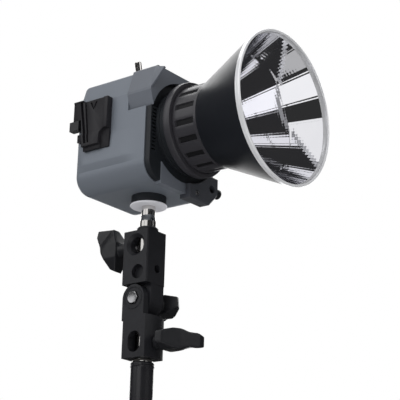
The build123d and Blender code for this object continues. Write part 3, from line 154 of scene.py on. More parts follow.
@dataclass(frozen=True)
class Finish:
    """One surface finish: its colours, gloss and relief.

    Lengths are in metres, colours are linear.
    """

    name: str
    colour: Colour
    second: Colour
    roughness: tuple[float, float]
    metallic: float = 0.0
    grain: Grain = Grain.ORANGE_PEEL
    grain_size: float = 0.0006
    grain_depth: float = 0.00003
    patch_size: float = 0.03
    specular: float = 0.5
    coat: float = 0.0
    coat_roughness: float = 0.2
    fleck: float = 0.0
    edge: float = 0.0004
    # How much the sharp edges lighten: scuffs, and a painted highlight.
    wear_and_highlight: float = 0.25

    def build(self) -> bpy.types.Material:
        """Make the node material, or return it if it is there already.

        Returns:
            The material.
        """
        found = bpy.data.materials.get(self.name)
        if found is not None:
            return found
        material = bpy.data.materials.new(self.name)
        material.use_nodes = True
        material.diffuse_color = (*self.colour, 1.0)
        tree = material.node_tree
        shader = tree.nodes["Principled BSDF"]
        place = tree.nodes.new("ShaderNodeTexCoord").outputs["Object"]
        patches = self._noise(tree, place, 1.0 / self.patch_size, 4.0)
        colour = mixed(tree, patches, self.colour, self.second)
        if self.fleck > 0:
            colour = self._flecks(tree, place, colour)
        rounded = None
        if self.edge > 0:
            bevel = tree.nodes.new("ShaderNodeBevel")
            bevel.samples = 6
            bevel.inputs["Radius"].default_value = self.edge
            rounded = bevel.outputs["Normal"]
            colour = self._worn_and_highlit_edges(tree, place, rounded, colour)
        tree.links.new(colour, shader.inputs["Base Color"])
        smears = self._noise(tree, place, 3.0 / self.patch_size, 6.0)
        rough = remapped(tree, smears, To_Min=self.roughness[0], To_Max=self.roughness[1])
        tree.links.new(rough, shader.inputs["Roughness"])
        shader.inputs["Metallic"].default_value = self.metallic
        shader.inputs["Specular IOR Level"].default_value = self.specular
        shader.inputs["Coat Weight"].default_value = self.coat
        shader.inputs["Coat Roughness"].default_value = self.coat_roughness
        if self.grain is not Grain.SMOOTH:
            bump = tree.nodes.new("ShaderNodeBump")
            bump.inputs["Distance"].default_value = self.grain_depth
            bump.inputs["Strength"].default_value = 1.0
            tree.links.new(self._relief(tree, place), bump.inputs["Height"])
            if rounded is not None:
                tree.links.new(rounded, bump.inputs["Normal"])
            rounded = bump.outputs["Normal"]
        if rounded is not None:
            tree.links.new(rounded, shader.inputs["Normal"])
        return material

    def _worn_and_highlit_edges(self, tree: NodeTree, place: Socket, rounded: Socket, under: Socket) -> Socket:
        """Lighten the sharp edges: scuffs from hands and tools, and a painted highlight along them.

        Args:
            tree: the material's nodes.
            place: the coordinate socket.
            rounded: the normal with its edges rounded.
            under: the colour below the scuffs and the painted highlight.

        Returns:
            The colour socket with worn edges.
        """
        plain = tree.nodes.new("ShaderNodeNewGeometry").outputs["Normal"]
        agree = tree.nodes.new("ShaderNodeVectorMath")
        agree.operation = "DOT_PRODUCT"
        tree.links.new(rounded, agree.inputs[0])
        tree.links.new(plain, agree.inputs[1])
        sharp, worn_and_highlit = WEAR_AND_HIGHLIGHT_AGREEMENT
        edge = remapped(tree, agree.outputs["Value"], From_Min=sharp, From_Max=worn_and_highlit, To_Max=self.wear_and_highlight)
        patchy = tree.nodes.new("ShaderNodeMath")
        patchy.operation = "MULTIPLY"
        tree.links.new(edge, patchy.inputs[0])
        tree.links.new(self._noise(tree, place, WEAR_AND_HIGHLIGHT_SCALE, 3.0), patchy.inputs[1])
        # Lighter edge colour: scuffs, and a painted highlight.
        rubbed_and_highlit = tuple(min(1.0, 3.0 * c + 0.05) for c in self.colour)
        return mixed(tree, patchy.outputs["Value"], under, rubbed_and_highlit)

    def _noise(self, tree: NodeTree, place: Socket, scale: float, detail: float) -> Socket:
        """Add a noise texture.

        Args:
            tree: the material's nodes.
            place: the coordinate socket.
            scale: noise scale per metre.
            detail: octaves.

        Returns:
            The noise value socket.
        """
        cloud = tree.nodes.new("ShaderNodeTexNoise")
        cloud.inputs["Scale"].default_value = scale
        cloud.inputs["Detail"].default_value = detail
        tree.links.new(place, cloud.inputs["Vector"])
        return cloud.outputs["Fac"]

    def _flecks(self, tree: NodeTree, place: Socket, under: Socket) -> Socket:
        """Scatter small light flecks over a colour.

        Args:
            tree: the material's nodes.
            place: the coordinate socket.
            under: the colour below the flecks.

        Returns:
            The colour socket with flecks.
        """
        cells = tree.nodes.new("ShaderNodeTexVoronoi")
        cells.inputs["Scale"].default_value = 0.6 / self.grain_size
        tree.links.new(place, cells.inputs["Vector"])
        far, near = FLECK_REACH
        share = remapped(tree, cells.outputs["Distance"], From_Min=far, From_Max=near, To_Max=self.fleck)
        return mixed(tree, share, under, tuple(min(1.0, 2.2 * c + 0.02) for c in self.colour))

    def _relief(self, tree: NodeTree, place: Socket) -> Socket:
        """Make the height pattern of this grain.

        Args:
            tree: the material's nodes.
            place: the coordinate socket.

        Returns:
            The height socket.
        """
        stretch = {
            Grain.BRUSH_UP: (1.0, 1.0, 0.02),
            Grain.BRUSH_BEAM: (1.0, 0.02, 1.0),
            Grain.TURNED: (0.03, 0.03, 1.0),
        }.get(self.grain, (1.0, 1.0, 1.0))
        mapping = tree.nodes.new("ShaderNodeMapping")
        mapping.inputs["Scale"].default_value = stretch
        tree.links.new(place, mapping.inputs["Vector"])
        if self.grain is Grain.SPARK:
            cells = tree.nodes.new("ShaderNodeTexVoronoi")
            cells.feature = "SMOOTH_F1"
            cells.inputs["Scale"].default_value = 1.0 / self.grain_size
            tree.links.new(mapping.outputs["Vector"], cells.inputs["Vector"])
            return cells.outputs["Distance"]
        return self._noise(tree, mapping.outputs["Vector"], 1.0 / self.grain_size, 3.0)


GREY_PAINT = Finish(
    "grey_paint", (0.150, 0.163, 0.190), (0.172, 0.186, 0.214), (0.42, 0.52), grain_size=0.0007,
    grain_depth=0.000022, fleck=0.10, specular=0.45,
)
SADDLE_PAINT = Finish(
    "saddle_paint", (0.108, 0.120, 0.142), (0.124, 0.136, 0.160), (0.40, 0.50), grain_size=0.0007,
    grain_depth=0.000022, fleck=0.10, specular=0.45,
)
BLACK_MOULDING = Finish(
    "black_moulding", (0.0090, 0.0094, 0.0118), (0.0140, 0.0146, 0.0175), (0.30, 0.44),
    grain=Grain.SPARK, grain_size=0.0007, grain_depth=0.00004, fleck=0.05,
)
PLATE_MOULDING = Finish(
    "plate_moulding", (0.010, 0.0098, 0.0125), (0.019, 0.0182, 0.0215), (0.36, 0.5), grain=Grain.SPARK,
    grain_size=0.0006, grain_depth=0.00003, specular=0.32,
)
BEZEL_MOULDING = Finish(
    "bezel_moulding", (0.010, 0.013, 0.017), (0.014, 0.017, 0.022), (0.5, 0.6), grain=Grain.SPARK,
    grain_size=0.0008, grain_depth=0.00003,
)
BRACKET_COAT = Finish(
    "bracket_coat", (0.0100, 0.0104, 0.0138), (0.0150, 0.0156, 0.0200), (0.40, 0.55), grain_size=0.0011,
    grain_depth=0.00005, patch_size=0.012, fleck=0.06,
)
TUBE_COAT = Finish(
    "tube_coat", (0.0105, 0.0105, 0.0130), (0.0155, 0.0155, 0.0185), (0.20, 0.30), grain=Grain.BRUSH_UP,
    grain_size=0.0006, grain_depth=0.00001, coat=0.4,
)
CONE_COAT = Finish(
    "cone_coat", (0.0085, 0.0102, 0.0150), (0.0110, 0.0130, 0.0185), (0.36, 0.44), grain_size=0.0005,
    grain_depth=0.000015, specular=0.55,
)
# A lighter copy of the bezel moulding for the umbrella holder: painted light, lifting a part that stands in
# shade.
HOLDER_MOULDING_PAINTED_LIGHT = Finish(
    "holder_moulding", (0.036, 0.039, 0.048), (0.050, 0.054, 0.065), (0.38, 0.5), grain=Grain.SPARK,
    grain_size=0.0006, grain_depth=0.00003,
)
# Near-black finish for the neck's window floors: painted shade in the recesses.
SLOT_PAINTED_SHADE = Finish(
    "slot_shade", (0.006, 0.006, 0.0075), (0.009, 0.009, 0.011), (0.55, 0.7), grain=Grain.SPARK,
    grain_size=0.0006, grain_depth=0.00002, specular=0.3, edge=0.0,
)
RING_COAT = Finish(
    "ring_coat", (0.026, 0.025, 0.030), (0.036, 0.035, 0.041), (0.30, 0.42), grain_size=0.0006,
    grain_depth=0.00002, specular=0.6,
)
CHROME = Finish(
    "chrome_stud", (0.78, 0.76, 0.74), (0.70, 0.68, 0.66), (0.05, 0.13), metallic=1.0,
    grain=Grain.TURNED, grain_size=0.0008, grain_depth=0.000006, patch_size=0.01,
)
PLATED_STEEL = Finish(
    "plated_steel", (0.52, 0.52, 0.54), (0.66, 0.66, 0.67), (0.22, 0.38), metallic=1.0,
    grain_size=0.0005, grain_depth=0.00002, patch_size=0.006,
)
WASHER_METAL = Finish(
    "washer_metal", (0.80, 0.80, 0.85), (0.88, 0.88, 0.93), (0.38, 0.5), metallic=0.15,
    grain=Grain.TURNED, grain_size=0.0006, grain_depth=0.00002,
)
BARE_ALUMINIUM = Finish(
    "bare_aluminium", (0.62, 0.63, 0.65), (0.72, 0.73, 0.75), (0.25, 0.4), metallic=1.0,
    grain=Grain.BRUSH_BEAM, grain_size=0.0005, grain_depth=0.00001,
)
RIM_METAL = Finish(
    "rim_metal", (0.84, 0.85, 0.88), (0.92, 0.92, 0.94), (0.16, 0.28), metallic=0.35, grain_size=0.0012,
    grain_depth=0.000015, patch_size=0.01,
)
MIRROR = Finish(
    "mirror_sheet", (0.90, 0.90, 0.93), (0.84, 0.84, 0.88), (0.015, 0.06), metallic=1.0,
    grain_size=0.0016, grain_depth=0.000003, patch_size=0.02, edge=0.0,
)
PHOSPHOR = Finish(
    "phosphor", (0.78, 0.62, 0.10), (0.86, 0.70, 0.16), (0.5, 0.6), grain=Grain.SPARK,
    grain_size=0.0004, grain_depth=0.00002,
)
CERAMIC = Finish(
    "ceramic_holder", (0.72, 0.72, 0.70), (0.80, 0.80, 0.78), (0.5, 0.65), grain=Grain.SPARK,
    grain_size=0.0005, grain_depth=0.00002,
)
BOARD_GREEN = Finish(
    "board_green", (0.008, 0.075, 0.03), (0.012, 0.10, 0.04), (0.3, 0.45), grain=Grain.SPARK,
    grain_size=0.0008, grain_depth=0.00003,
)
BRASS = Finish(
    "plain_brass", (0.70, 0.50, 0.18), (0.78, 0.58, 0.25), (0.2, 0.32), metallic=1.0,
    grain=Grain.BRUSH_BEAM, grain_size=0.0004, grain_depth=0.00001,
)
WHITE_PRINT = Finish(
    "white_print", (0.62, 0.62, 0.62), (0.70, 0.70, 0.70), (0.45, 0.55), grain=Grain.SMOOTH,
)
DISPLAY_BLUE = Finish(
    "display_segments", (0.20, 0.45, 0.55), (0.26, 0.52, 0.62), (0.3, 0.4), grain=Grain.SMOOTH,
    edge=0.0,
)
SCREEN = Finish(
    "screen_face", (0.004, 0.006, 0.010), (0.006, 0.009, 0.015), (0.04, 0.08), grain=Grain.SMOOTH,
    coat=1.0, coat_roughness=0.03,
)

NODE_GROUPS: tuple[tuple[Finish, str], ...] = (
    (TUBE_COAT, "column_tube stand_collar"),
    (BLACK_MOULDING,
     "column_plug friction_disc lower_handle upper_handle swivel_handle fan_frame fan_rotor "
     "board_parts control_pots dimmer_knob colour_knob rocker_frame power_rocker wedge_latch "
     "umbrella_screw"),
    (CHROME, "stand_stud spigot accessory_post"),
    (BRACKET_COAT, "lower_socket upper_socket socket_ring"),
    (PLATED_STEEL,
     "hinge_bolt lower_clamp_screw upper_clamp_screw base_nut panel_screws power_inlet "
     "holder_screw"),
    (WASHER_METAL, "base_washer"),
    (BEZEL_MOULDING, "base_boss front_bezel rear_panel"),
    (BARE_ALUMINIUM, "base_plate engine_seat heat_sink chassis_rails umbrella_tube"),
    (GREY_PAINT, "body_shell"),
    (SADDLE_PAINT, "top_saddle bottom_saddle"),
    (RING_COAT, "mount_collar bayonet_ring neck_tube"),
    (CONE_COAT, "reflector_cone"),
    (MIRROR, "mirror_liner light_cup"),
    (RIM_METAL, "rim_ring"),
    (PHOSPHOR, "light_chip"),
    (CERAMIC, "chip_holder"),
    (BOARD_GREEN, "driver_board"),
    (BRASS, "board_standoffs inlet_pins"),
    (SCREEN, "display_window"),
    (PLATE_MOULDING, "mode_button fan_button wedge_plate"),
    (HOLDER_MOULDING_PAINTED_LIGHT, "umbrella_holder"),
)
NODE_FINISHES = {node: finish for finish, nodes in NODE_GROUPS for node in nodes.split()}


@dataclass(frozen=True)
class ClearGlass:
    """Clear cover glass with a faint green edge."""

    name: str = "cover_glass_clear"
    roughness: float = 0.02
    smudge: float = 0.06

    def build(self) -> bpy.types.Material:
        """Make the glass material.

        Returns:
            The material.
        """
        material = bpy.data.materials.new(self.name)
        material.use_nodes = True
        tree = material.node_tree
        shader = tree.nodes["Principled BSDF"]
        shader.inputs["Base Color"].default_value = (0.94, 0.97, 0.96, 1.0)
        shader.inputs["Transmission Weight"].default_value = 1.0
        shader.inputs["IOR"].default_value = 1.45
        place = tree.nodes.new("ShaderNodeTexCoord").outputs["Object"]
        cloud = tree.nodes.new("ShaderNodeTexNoise")
        cloud.inputs["Scale"].default_value = 60.0
        tree.links.new(place, cloud.inputs["Vector"])
        smear = remapped(tree, cloud.outputs["Fac"], To_Min=self.roughness, To_Max=self.smudge)
        tree.links.new(smear, shader.inputs["Roughness"])
        return material


# ------------------------------------------------------------------ mesh helpers
def new_piece(name: str, verts: Sequence, faces: Sequence, finish: Finish, angle: float = 40.0) -> Piece:
    """Make a mesh object from points and faces, normals outward and shaded smooth under an angle.

    Args:
        name: the piece's name.
        verts: points in metres.
        faces: index tuples.
        finish: what it is finished in.
        angle: edges sharper than this many degrees stay sharp.

    Returns:
        The new object, at the origin.
    """
    mesh = bpy.data.meshes.new(name)
    mesh.from_pydata([tuple(v) for v in verts], [], [tuple(f) for f in faces])
    piece = bpy.data.objects.new(name, mesh)
    bpy.context.scene.collection.objects.link(piece)
    mesh.materials.append(finish.build())
    settle(piece, angle)
    return piece


def band_faces(rows: int, count: int, closed: bool = False) -> list[tuple[int, ...]]:
    """List the faces that join rows of points, each row a ring of its own.

    Args:
        rows: how many rows.
        count: points in a row.
        closed: whether the last row joins the first. If not, both end rows are capped.

    Returns:
        The faces, as index tuples.
    """
    faces = []
    for row in range(rows if closed else rows - 1):
        near, far = row * count, (row + 1) % rows * count
        faces += [(near + k, near + (k + 1) % count, far + (k + 1) % count, far + k) for k in range(count)]
    if not closed:
        faces += [tuple(range(count))[::-1], tuple(range((rows - 1) * count, rows * count))]
    return faces


def settle(piece: Piece, angle: float = 40.0) -> None:
    """Merge doubles, turn normals outward and set smooth shading by angle.

    Args:
        piece: the mesh object.
        angle: edges sharper than this many degrees stay sharp.
    """
    work = bmesh.new()
    work.from_mesh(piece.data)
    bmesh.ops.remove_doubles(work, verts=work.verts, dist=1e-6)
    bmesh.ops.recalc_face_normals(work, faces=work.faces)
    limit = math.radians(angle)
    for face in work.faces:
        face.smooth = True
    for edge in work.edges:
        edge.smooth = len(edge.link_faces) == 2 and edge.calc_face_angle(0.0) < limit
    work.to_mesh(piece.data)
    work.free()
    piece.data.update()


def apply_modifiers(piece: Piece) -> None:
    """Turn a piece with modifiers into a plain mesh.

    Args:
        piece: the object.
    """
    graph = bpy.context.evaluated_depsgraph_get()
    graph.update()
    baked = bpy.data.meshes.new_from_object(
        piece.evaluated_get(graph), preserve_all_data_layers=True, depsgraph=graph
    )
    baked.name = piece.name
    piece.modifiers.clear()
    piece.data = baked


def soften(piece: Piece, width: float, segments: int = 2, angle: float = 30.0) -> None:
    """Round every sharp edge of a piece.

    Args:
        piece: the object.
        width: bevel width in metres.
        segments: rounds per edge.
        angle: edges sharper than this many degrees are rounded.
    """
    bevel = piece.modifiers.new("soft_edges", "BEVEL")
    bevel.width = width
    bevel.segments = segments
    bevel.limit_method = "ANGLE"
    bevel.angle_limit = math.radians(angle)
    apply_modifiers(piece)
    settle(piece, 35.0)


def frame_of(origin: Sequence[float], along: Sequence[float], side: Sequence[float]) -> Matrix:
    """Matrix of a local frame: local Z runs along, local X runs to the side.

    Args:
        origin: where local zero lies.
        along: direction of local Z.
        side: direction of local X.

    Returns:
        A 4 by 4 matrix.
    """
    axis_z = Vector(along).normalized()
    axis_x = Vector(side).normalized()
    axis_y = axis_z.cross(axis_x)
    matrix = Matrix((axis_x, axis_y, axis_z)).transposed().to_4x4()
    matrix.translation = Vector(origin)
    return matrix


def place(piece: Piece, matrix: Matrix) -> None:
    """Move a piece's mesh, leaving its object at the origin.

    Args:
        piece: the object.
        matrix: where its local frame goes.
    """
    piece.data.transform(matrix)
    piece.data.update()


def lathe(
    name: str, profile: Outline, matrix: Matrix, finish: Finish, turns: int = 128, angle: float = 35.0
) -> Piece:
    """Turn a closed profile of (radius, height) points about local Z.

    Args:
        name: the piece's name.
        profile: closed outline, in metres.
        matrix: the local frame.
        finish: what it is finished in.
        turns: steps round the axis.
        angle: sharp edge limit in degrees.

    Returns:
        The piece.
    """
    verts = []
    for step in range(turns):
        turn = 2 * math.pi * step / turns
        verts += [(radius * math.cos(turn), radius * math.sin(turn), height) for radius, height in profile]
    piece = new_piece(name, verts, band_faces(turns, len(profile), closed=True), finish, angle)
    place(piece, matrix)
    return piece


def prism(name: str, outline: Outline, depth: float, matrix: Matrix, finish: Finish) -> Piece:
    """Make a straight prism from an outline in local XY.

    Args:
        name: the piece's name.
        outline: points in order.
        depth: height along local Z.
        matrix: the local frame.
        finish: what it is finished in.

    Returns:
        The piece.
    """
    count = len(outline)
    verts = [(x, y, 0.0) for x, y in outline] + [(x, y, depth) for x, y in outline]
    piece = new_piece(name, verts, band_faces(2, count), finish, 30.0)
    place(piece, matrix)
    return piece


def join(name: str, *pieces: Piece) -> Piece:
    """Join plain meshes into the first one.

    Args:
        name: name of the result.
        pieces: the objects, all at the origin.

    Returns:
        The joined object.
    """
    work = bmesh.new()
    slots: list[bpy.types.Material] = []
    for piece in pieces:
        start = len(work.faces)
        work.from_mesh(piece.data)
        work.faces.ensure_lookup_table()
        table = []
        for material in piece.data.materials:
            if material not in slots:
                slots.append(material)
            table.append(slots.index(material))
        for face in work.faces[start:]:
            face.material_index = table[face.material_index] if table else 0
    mesh = bpy.data.meshes.new(name)
    work.to_mesh(mesh)
    work.free()
    for material in slots:
        mesh.materials.append(material)
    for piece in pieces:
        bpy.data.objects.remove(piece)
    joined = bpy.data.objects.new(name, mesh)
    bpy.context.scene.collection.objects.link(joined)
    return joined


# ------------------------------------------------------------------ geometry node arrays
class Array:
    """A node tree that repeats a piece's own mesh over points and sets its material."""

    def __init__(self, name: str) -> None:
        """Start the tree with its geometry sockets.

        Args:
            name: name of the node tree.
        """
        self.tree = bpy.data.node_groups.new(name, "GeometryNodeTree")
        self.sockets: dict[str, str] = {}
        self.socket("Geometry", "NodeSocketGeometry")
        self.tree.interface.new_socket("Geometry", in_out="OUTPUT", socket_type="NodeSocketGeometry")
        self.start = self.tree.nodes.new("NodeGroupInput")

    def socket(self, name: str, kind: str) -> None:
        """Add a named input and remember its identifier.

        Args:
            name: the input's name.
            kind: the socket type.
        """
        made = self.tree.interface.new_socket(name, in_out="INPUT", socket_type=kind)
        self.sockets[name] = made.identifier

    def add(self, kind: str, **links: Socket) -> bpy.types.Node:
        """Add a node with some inputs linked.

        Args:
            kind: the node type.
            links: input names, with spaces as underscores, and the sockets that feed them.

        Returns:
            The node.
        """
        node = self.tree.nodes.new(kind)
        for name, feed in links.items():
            self.tree.links.new(feed, node.inputs[name.replace("_", " ")])
        return node

    def close(self, points: Socket, turned: bool) -> None:
        """Instance the piece on the points, realize, and set the material.

        Args:
            points: geometry whose points carry the copies.
            turned: whether each copy's X turns outwards from the middle.
        """
        feed = self.start.outputs
        copies = self.add("GeometryNodeInstanceOnPoints", Points=points, Instance=feed["Geometry"])
        if turned:
            spot = self.add("GeometryNodeInputPosition")
            align = self.add("FunctionNodeAlignRotationToVector", Vector=spot.outputs["Position"])
            align.axis = "X"
            align.pivot_axis = "Z"
            self.tree.links.new(align.outputs["Rotation"], copies.inputs["Rotation"])
        whole = self.add("GeometryNodeRealizeInstances", Geometry=copies.outputs["Instances"])
        dress = self.add(
            "GeometryNodeSetMaterial", Geometry=whole.outputs["Geometry"], Material=feed["Material"]
        )
        end = self.tree.nodes.new("NodeGroupOutput")
        self.tree.links.new(dress.outputs["Geometry"], end.inputs["Geometry"])

    def run(self, piece: Piece, finish: Finish, **values: float) -> None:
        """Put the tree on a piece, set its inputs, and turn the result into a plain mesh.

        Args:
            piece: the object that holds the mesh to repeat.
            finish: what the copies are finished in.
            values: input names, with spaces as underscores, and their values.
        """
        modifier = piece.modifiers.new(self.tree.name, "NODES")
        modifier.node_group = self.tree
        modifier[self.sockets["Material"]] = finish.build()
        for name, value in values.items():
            modifier[self.sockets[name.replace("_", " ")]] = value
        apply_modifiers(piece)


class RingArray(Array):
    """Copies round a circle in local XY."""

    def __init__(self) -> None:
        """Build the tree."""
        super().__init__("ring_array")
        self.socket("Count", "NodeSocketInt")
        self.socket("Radius", "NodeSocketFloat")
        self.socket("Material", "NodeSocketMaterial")
        feed = self.start.outputs
        ring = self.add("GeometryNodeMeshCircle", Vertices=feed["Count"], Radius=feed["Radius"])
        self.close(ring.outputs["Mesh"], turned=True)


class GridArray(Array):
    """Copies on a flat grid in local XY."""

    def __init__(self) -> None:
        """Build the tree."""
        super().__init__("grid_array")
        self.socket("Columns", "NodeSocketInt")
        self.socket("Rows", "NodeSocketInt")
        self.socket("Width", "NodeSocketFloat")
        self.socket("Height", "NodeSocketFloat")
        self.socket("Material", "NodeSocketMaterial")
        feed = self.start.outputs
        grid = self.add(
            "GeometryNodeMeshGrid",
            Vertices_X=feed["Columns"], Vertices_Y=feed["Rows"], Size_X=feed["Width"], Size_Y=feed["Height"],
        )
        self.close(grid.outputs["Mesh"], turned=False)


# ------------------------------------------------------------------ reflector
@dataclass
class Reflector:
    """The cone reflector: fluted mirror, dark shell, rolled rim and slotted neck."""

    axis_z: float = field(default_factory=beam_height)
    back_y: float = -0.0875
    front_y: float = -0.1544
    rim_y: float = -0.160
    back_r: float = 0.0427
    front_r: float = 0.0726
    rim_r: float = 0.0738
    shell_t: float = 0.0012
    mirror_t: float = 0.0008
    flutes: int = 120
    flute_steps: int = 5
    facets: int = 24
    facet_steps: int = 3
    seam_at: float = 0.58
    seam_step: float = 0.00030
    flute_depth: float = 0.000042
    facet_depth: float = 0.000020
    neck_r: float = 0.042
    neck_wall: float = 0.0024
    neck_back_y: float = -0.056
    window_deep: float = 0.0018
    window: tuple[float, float] = (0.0625, 0.0842)
    ribs: int = 16
    rib_width: float = 0.0105
    rib_round: float = 0.0004

    def frame(self) -> Matrix:
        """Local frame of the beam: local Z runs out along it."""
        return frame_of((0.0, 0.0, self.axis_z), (0, -1, 0), (1, 0, 0))

    def outer_radius(self, share: float) -> float:
        """Radius of the dark shell a share of the way from back to front."""
        return self.back_r + (self.front_r - self.back_r) * share

    def mirror_radius(self, share: float, turn: float) -> float:
        """Radius of the mirror's face, with its flutes, facets and seam.

        Args:
            share: how far from back to front, 0 to 1.
            turn: angle round the beam.

        Returns:
            The radius in metres.
        """
        base = self.outer_radius(share) - self.shell_t - self.mirror_t
        flute = math.cos(turn * self.flutes) * 0.5 + 0.5
        facet = math.cos(2 * math.pi * share * self.facets) * 0.5 + 0.5
        lift = self.flute_depth * (1 - flute * flute) * (0.6 + 0.4 * share) + self.facet_depth * facet
        step = self.seam_step if share > self.seam_at else 0.0
        return base + step * 0.5 - lift

    def mirror(self) -> Piece:
        """Build the fluted mirror as a thin closed skin inside the shell.

        Returns:
            The piece.
        """
        turns = self.flutes * self.flute_steps
        rows = self.facets * self.facet_steps
        shares = [k / rows for k in range(rows + 1)]
        seam = min(range(rows + 1), key=lambda k: abs(shares[k] - self.seam_at))
        shares.insert(seam + 1, shares[seam] + 1e-4)
        length = self.back_y - self.front_y
        verts = []
        for step in range(turns):
            turn = 2 * math.pi * step / turns
            ring = [(self.mirror_radius(s, turn), s) for s in shares]
            ring += [(self.outer_radius(s) - self.shell_t, s) for s in (1.0, 0.0)]
            for radius, share in ring:
                height = -self.back_y + share * length
                verts.append((radius * math.cos(turn), radius * math.sin(turn), height))
        faces = band_faces(turns, len(shares) + 2, closed=True)
        piece = new_piece("reflector_mirror", verts, faces, MIRROR, 40.0)
        place(piece, self.frame())
        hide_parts("mirror_liner")
        return piece

    def shell(self) -> Piece:
        """Build the dark outer shell of the cone.

        Returns:
            The piece.
        """
        near, far = -self.back_y, -self.front_y
        profile = [
            (self.back_r - self.shell_t, near),
            (self.back_r - 0.0004, near),
            (self.back_r + 0.0001, near + 0.0006),
            (self.front_r, far),
            (self.front_r - self.shell_t, far),
        ]
        piece = lathe("reflector_shell", profile, self.frame(), CONE_COAT, 192)
        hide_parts("reflector_cone")
        return piece

    def rim(self) -> Piece:
        """Build the rolled bright rim.

        Returns:
            The piece.
        """
        near, far = -self.front_y, -self.rim_y
        inner = self.front_r - self.shell_t - self.mirror_t
        profile = [(inner, near), (self.front_r, near)]
        centre_r, centre_h, bead = self.rim_r - 0.0013, far - 0.0013, 0.0013
        profile.append((self.front_r + 0.0004, near + 0.0022))
        for k in range(9):
            turn = math.radians(-25 + k * 28)
            profile.append((centre_r + bead * math.cos(turn), centre_h + bead * math.sin(turn)))
        profile.append((inner + 0.0006, far - 0.0032))
        piece = lathe("rolled_rim", profile, self.frame(), RIM_METAL, 192)
        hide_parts("rim_ring")
        return piece

    def neck(self) -> Piece:
        """Build the neck: a sleeve with grip ribs between shallow windows, their floors covered by a
        near-black band of painted shade.

        Returns:
            The piece.
        """
        inner, low = self.neck_r - self.neck_wall, self.neck_r - self.window_deep
        back, front = -self.neck_back_y, -self.back_y
        near, far = self.window
        profile = [
            (inner, back), (self.neck_r - 0.0004, back), (self.neck_r, back + 0.0004), (self.neck_r, near),
            (low, near + 0.0008), (low, far - 0.0010), (self.neck_r, far), (self.neck_r, front - 0.0005),
            (self.neck_r - 0.0005, front), (inner, front),
        ]
        sleeve = lathe("neck_sleeve", profile, self.frame(), RING_COAT, 160)
        # A near-black band laid just over the window floors: painted shade in the recesses.
        skin = (low - 0.0001, low + 0.0002)
        low_end, high_end = near + 0.0010, far - 0.0012
        floor = [(skin[0], low_end), (skin[1], low_end), (skin[1], high_end), (skin[0], high_end)]
        painted_shade_band = lathe("neck_slot_floor", floor, self.frame(), SLOT_PAINTED_SHADE, 160)
        half = self.rib_width / 2
        deep = -self.window_deep - 0.0002
        outline = [(deep, -half)]
        for k in range(-3, 4):
            turn = half / self.neck_r * k / 3
            crown = self.neck_r * (math.cos(turn) - 1) - (self.rib_round if abs(k) == 3 else 0.0)
            outline.append((crown, self.neck_r * math.sin(turn)))
        outline.append((deep, half))
        rib = prism("neck_rib", outline, far - near - 0.0001, Matrix.Identity(4), RING_COAT)
        RingArray().run(rib, RING_COAT, Count=self.ribs, Radius=self.neck_r)
        place(rib, self.frame() @ Matrix.Translation((0, 0, near)))
        settle(rib, 30.0)
        piece = join("reflector_neck", sleeve, painted_shade_band, rib)
        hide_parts("neck_tube")
        return piece

    def build(self) -> list[Piece]:
        """Build every reflector piece on the reflector's body.

        Returns:
            The pieces.
        """
        made = [self.mirror(), self.shell(), self.rim(), self.neck()]
        for piece in made:
            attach(piece, "reflector")
        return made


# ------------------------------------------------------------------ lens mount
@dataclass
class LensMount:
    """The flanged ring that takes the reflector, and the collar behind it."""

    axis_z: float = field(default_factory=beam_height)
    ring_r: float = 0.0468
    collar_r: float = 0.0415
    port_r: float = 0.036
    back: float = 0.052
    front: float = 0.060
    bezel: float = 0.040

    def build(self) -> list[Piece]:
        """Build the ring and the collar.

        Returns:
            The pieces.
        """
        frame = frame_of((0.0, 0.0, self.axis_z), (0, -1, 0), (1, 0, 0))
        profile = [
            (self.port_r, self.back), (self.ring_r - 0.0016, self.back),
            (self.ring_r - 0.0004, self.back + 0.0005),
            (self.ring_r, self.back + 0.0016), (self.ring_r, self.front - 0.0016),
            (self.ring_r - 0.0005, self.front - 0.0004), (self.ring_r - 0.0016, self.front),
            (0.0424, self.front), (0.0423, self.front - 0.0042), (0.0371, self.front - 0.0042),
            (0.0370, self.front), (self.port_r, self.front),
        ]
        ring = lathe("mount_ring", profile, frame, RING_COAT, 160)
        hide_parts("bayonet_ring")
        low = self.collar_r - 0.0012
        profile = [
            (self.port_r, self.bezel), (self.collar_r, self.bezel), (self.collar_r, 0.0432), (low, 0.0437),
            (low, 0.0482), (self.collar_r, 0.0487), (self.collar_r, self.back), (self.port_r, self.back),
        ]
        collar = lathe("mount_barrel", profile, frame, BEZEL_MOULDING, 160)
        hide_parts("mount_collar")
        for piece in (ring, collar):
            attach(piece, "head")
        return [ring, collar]


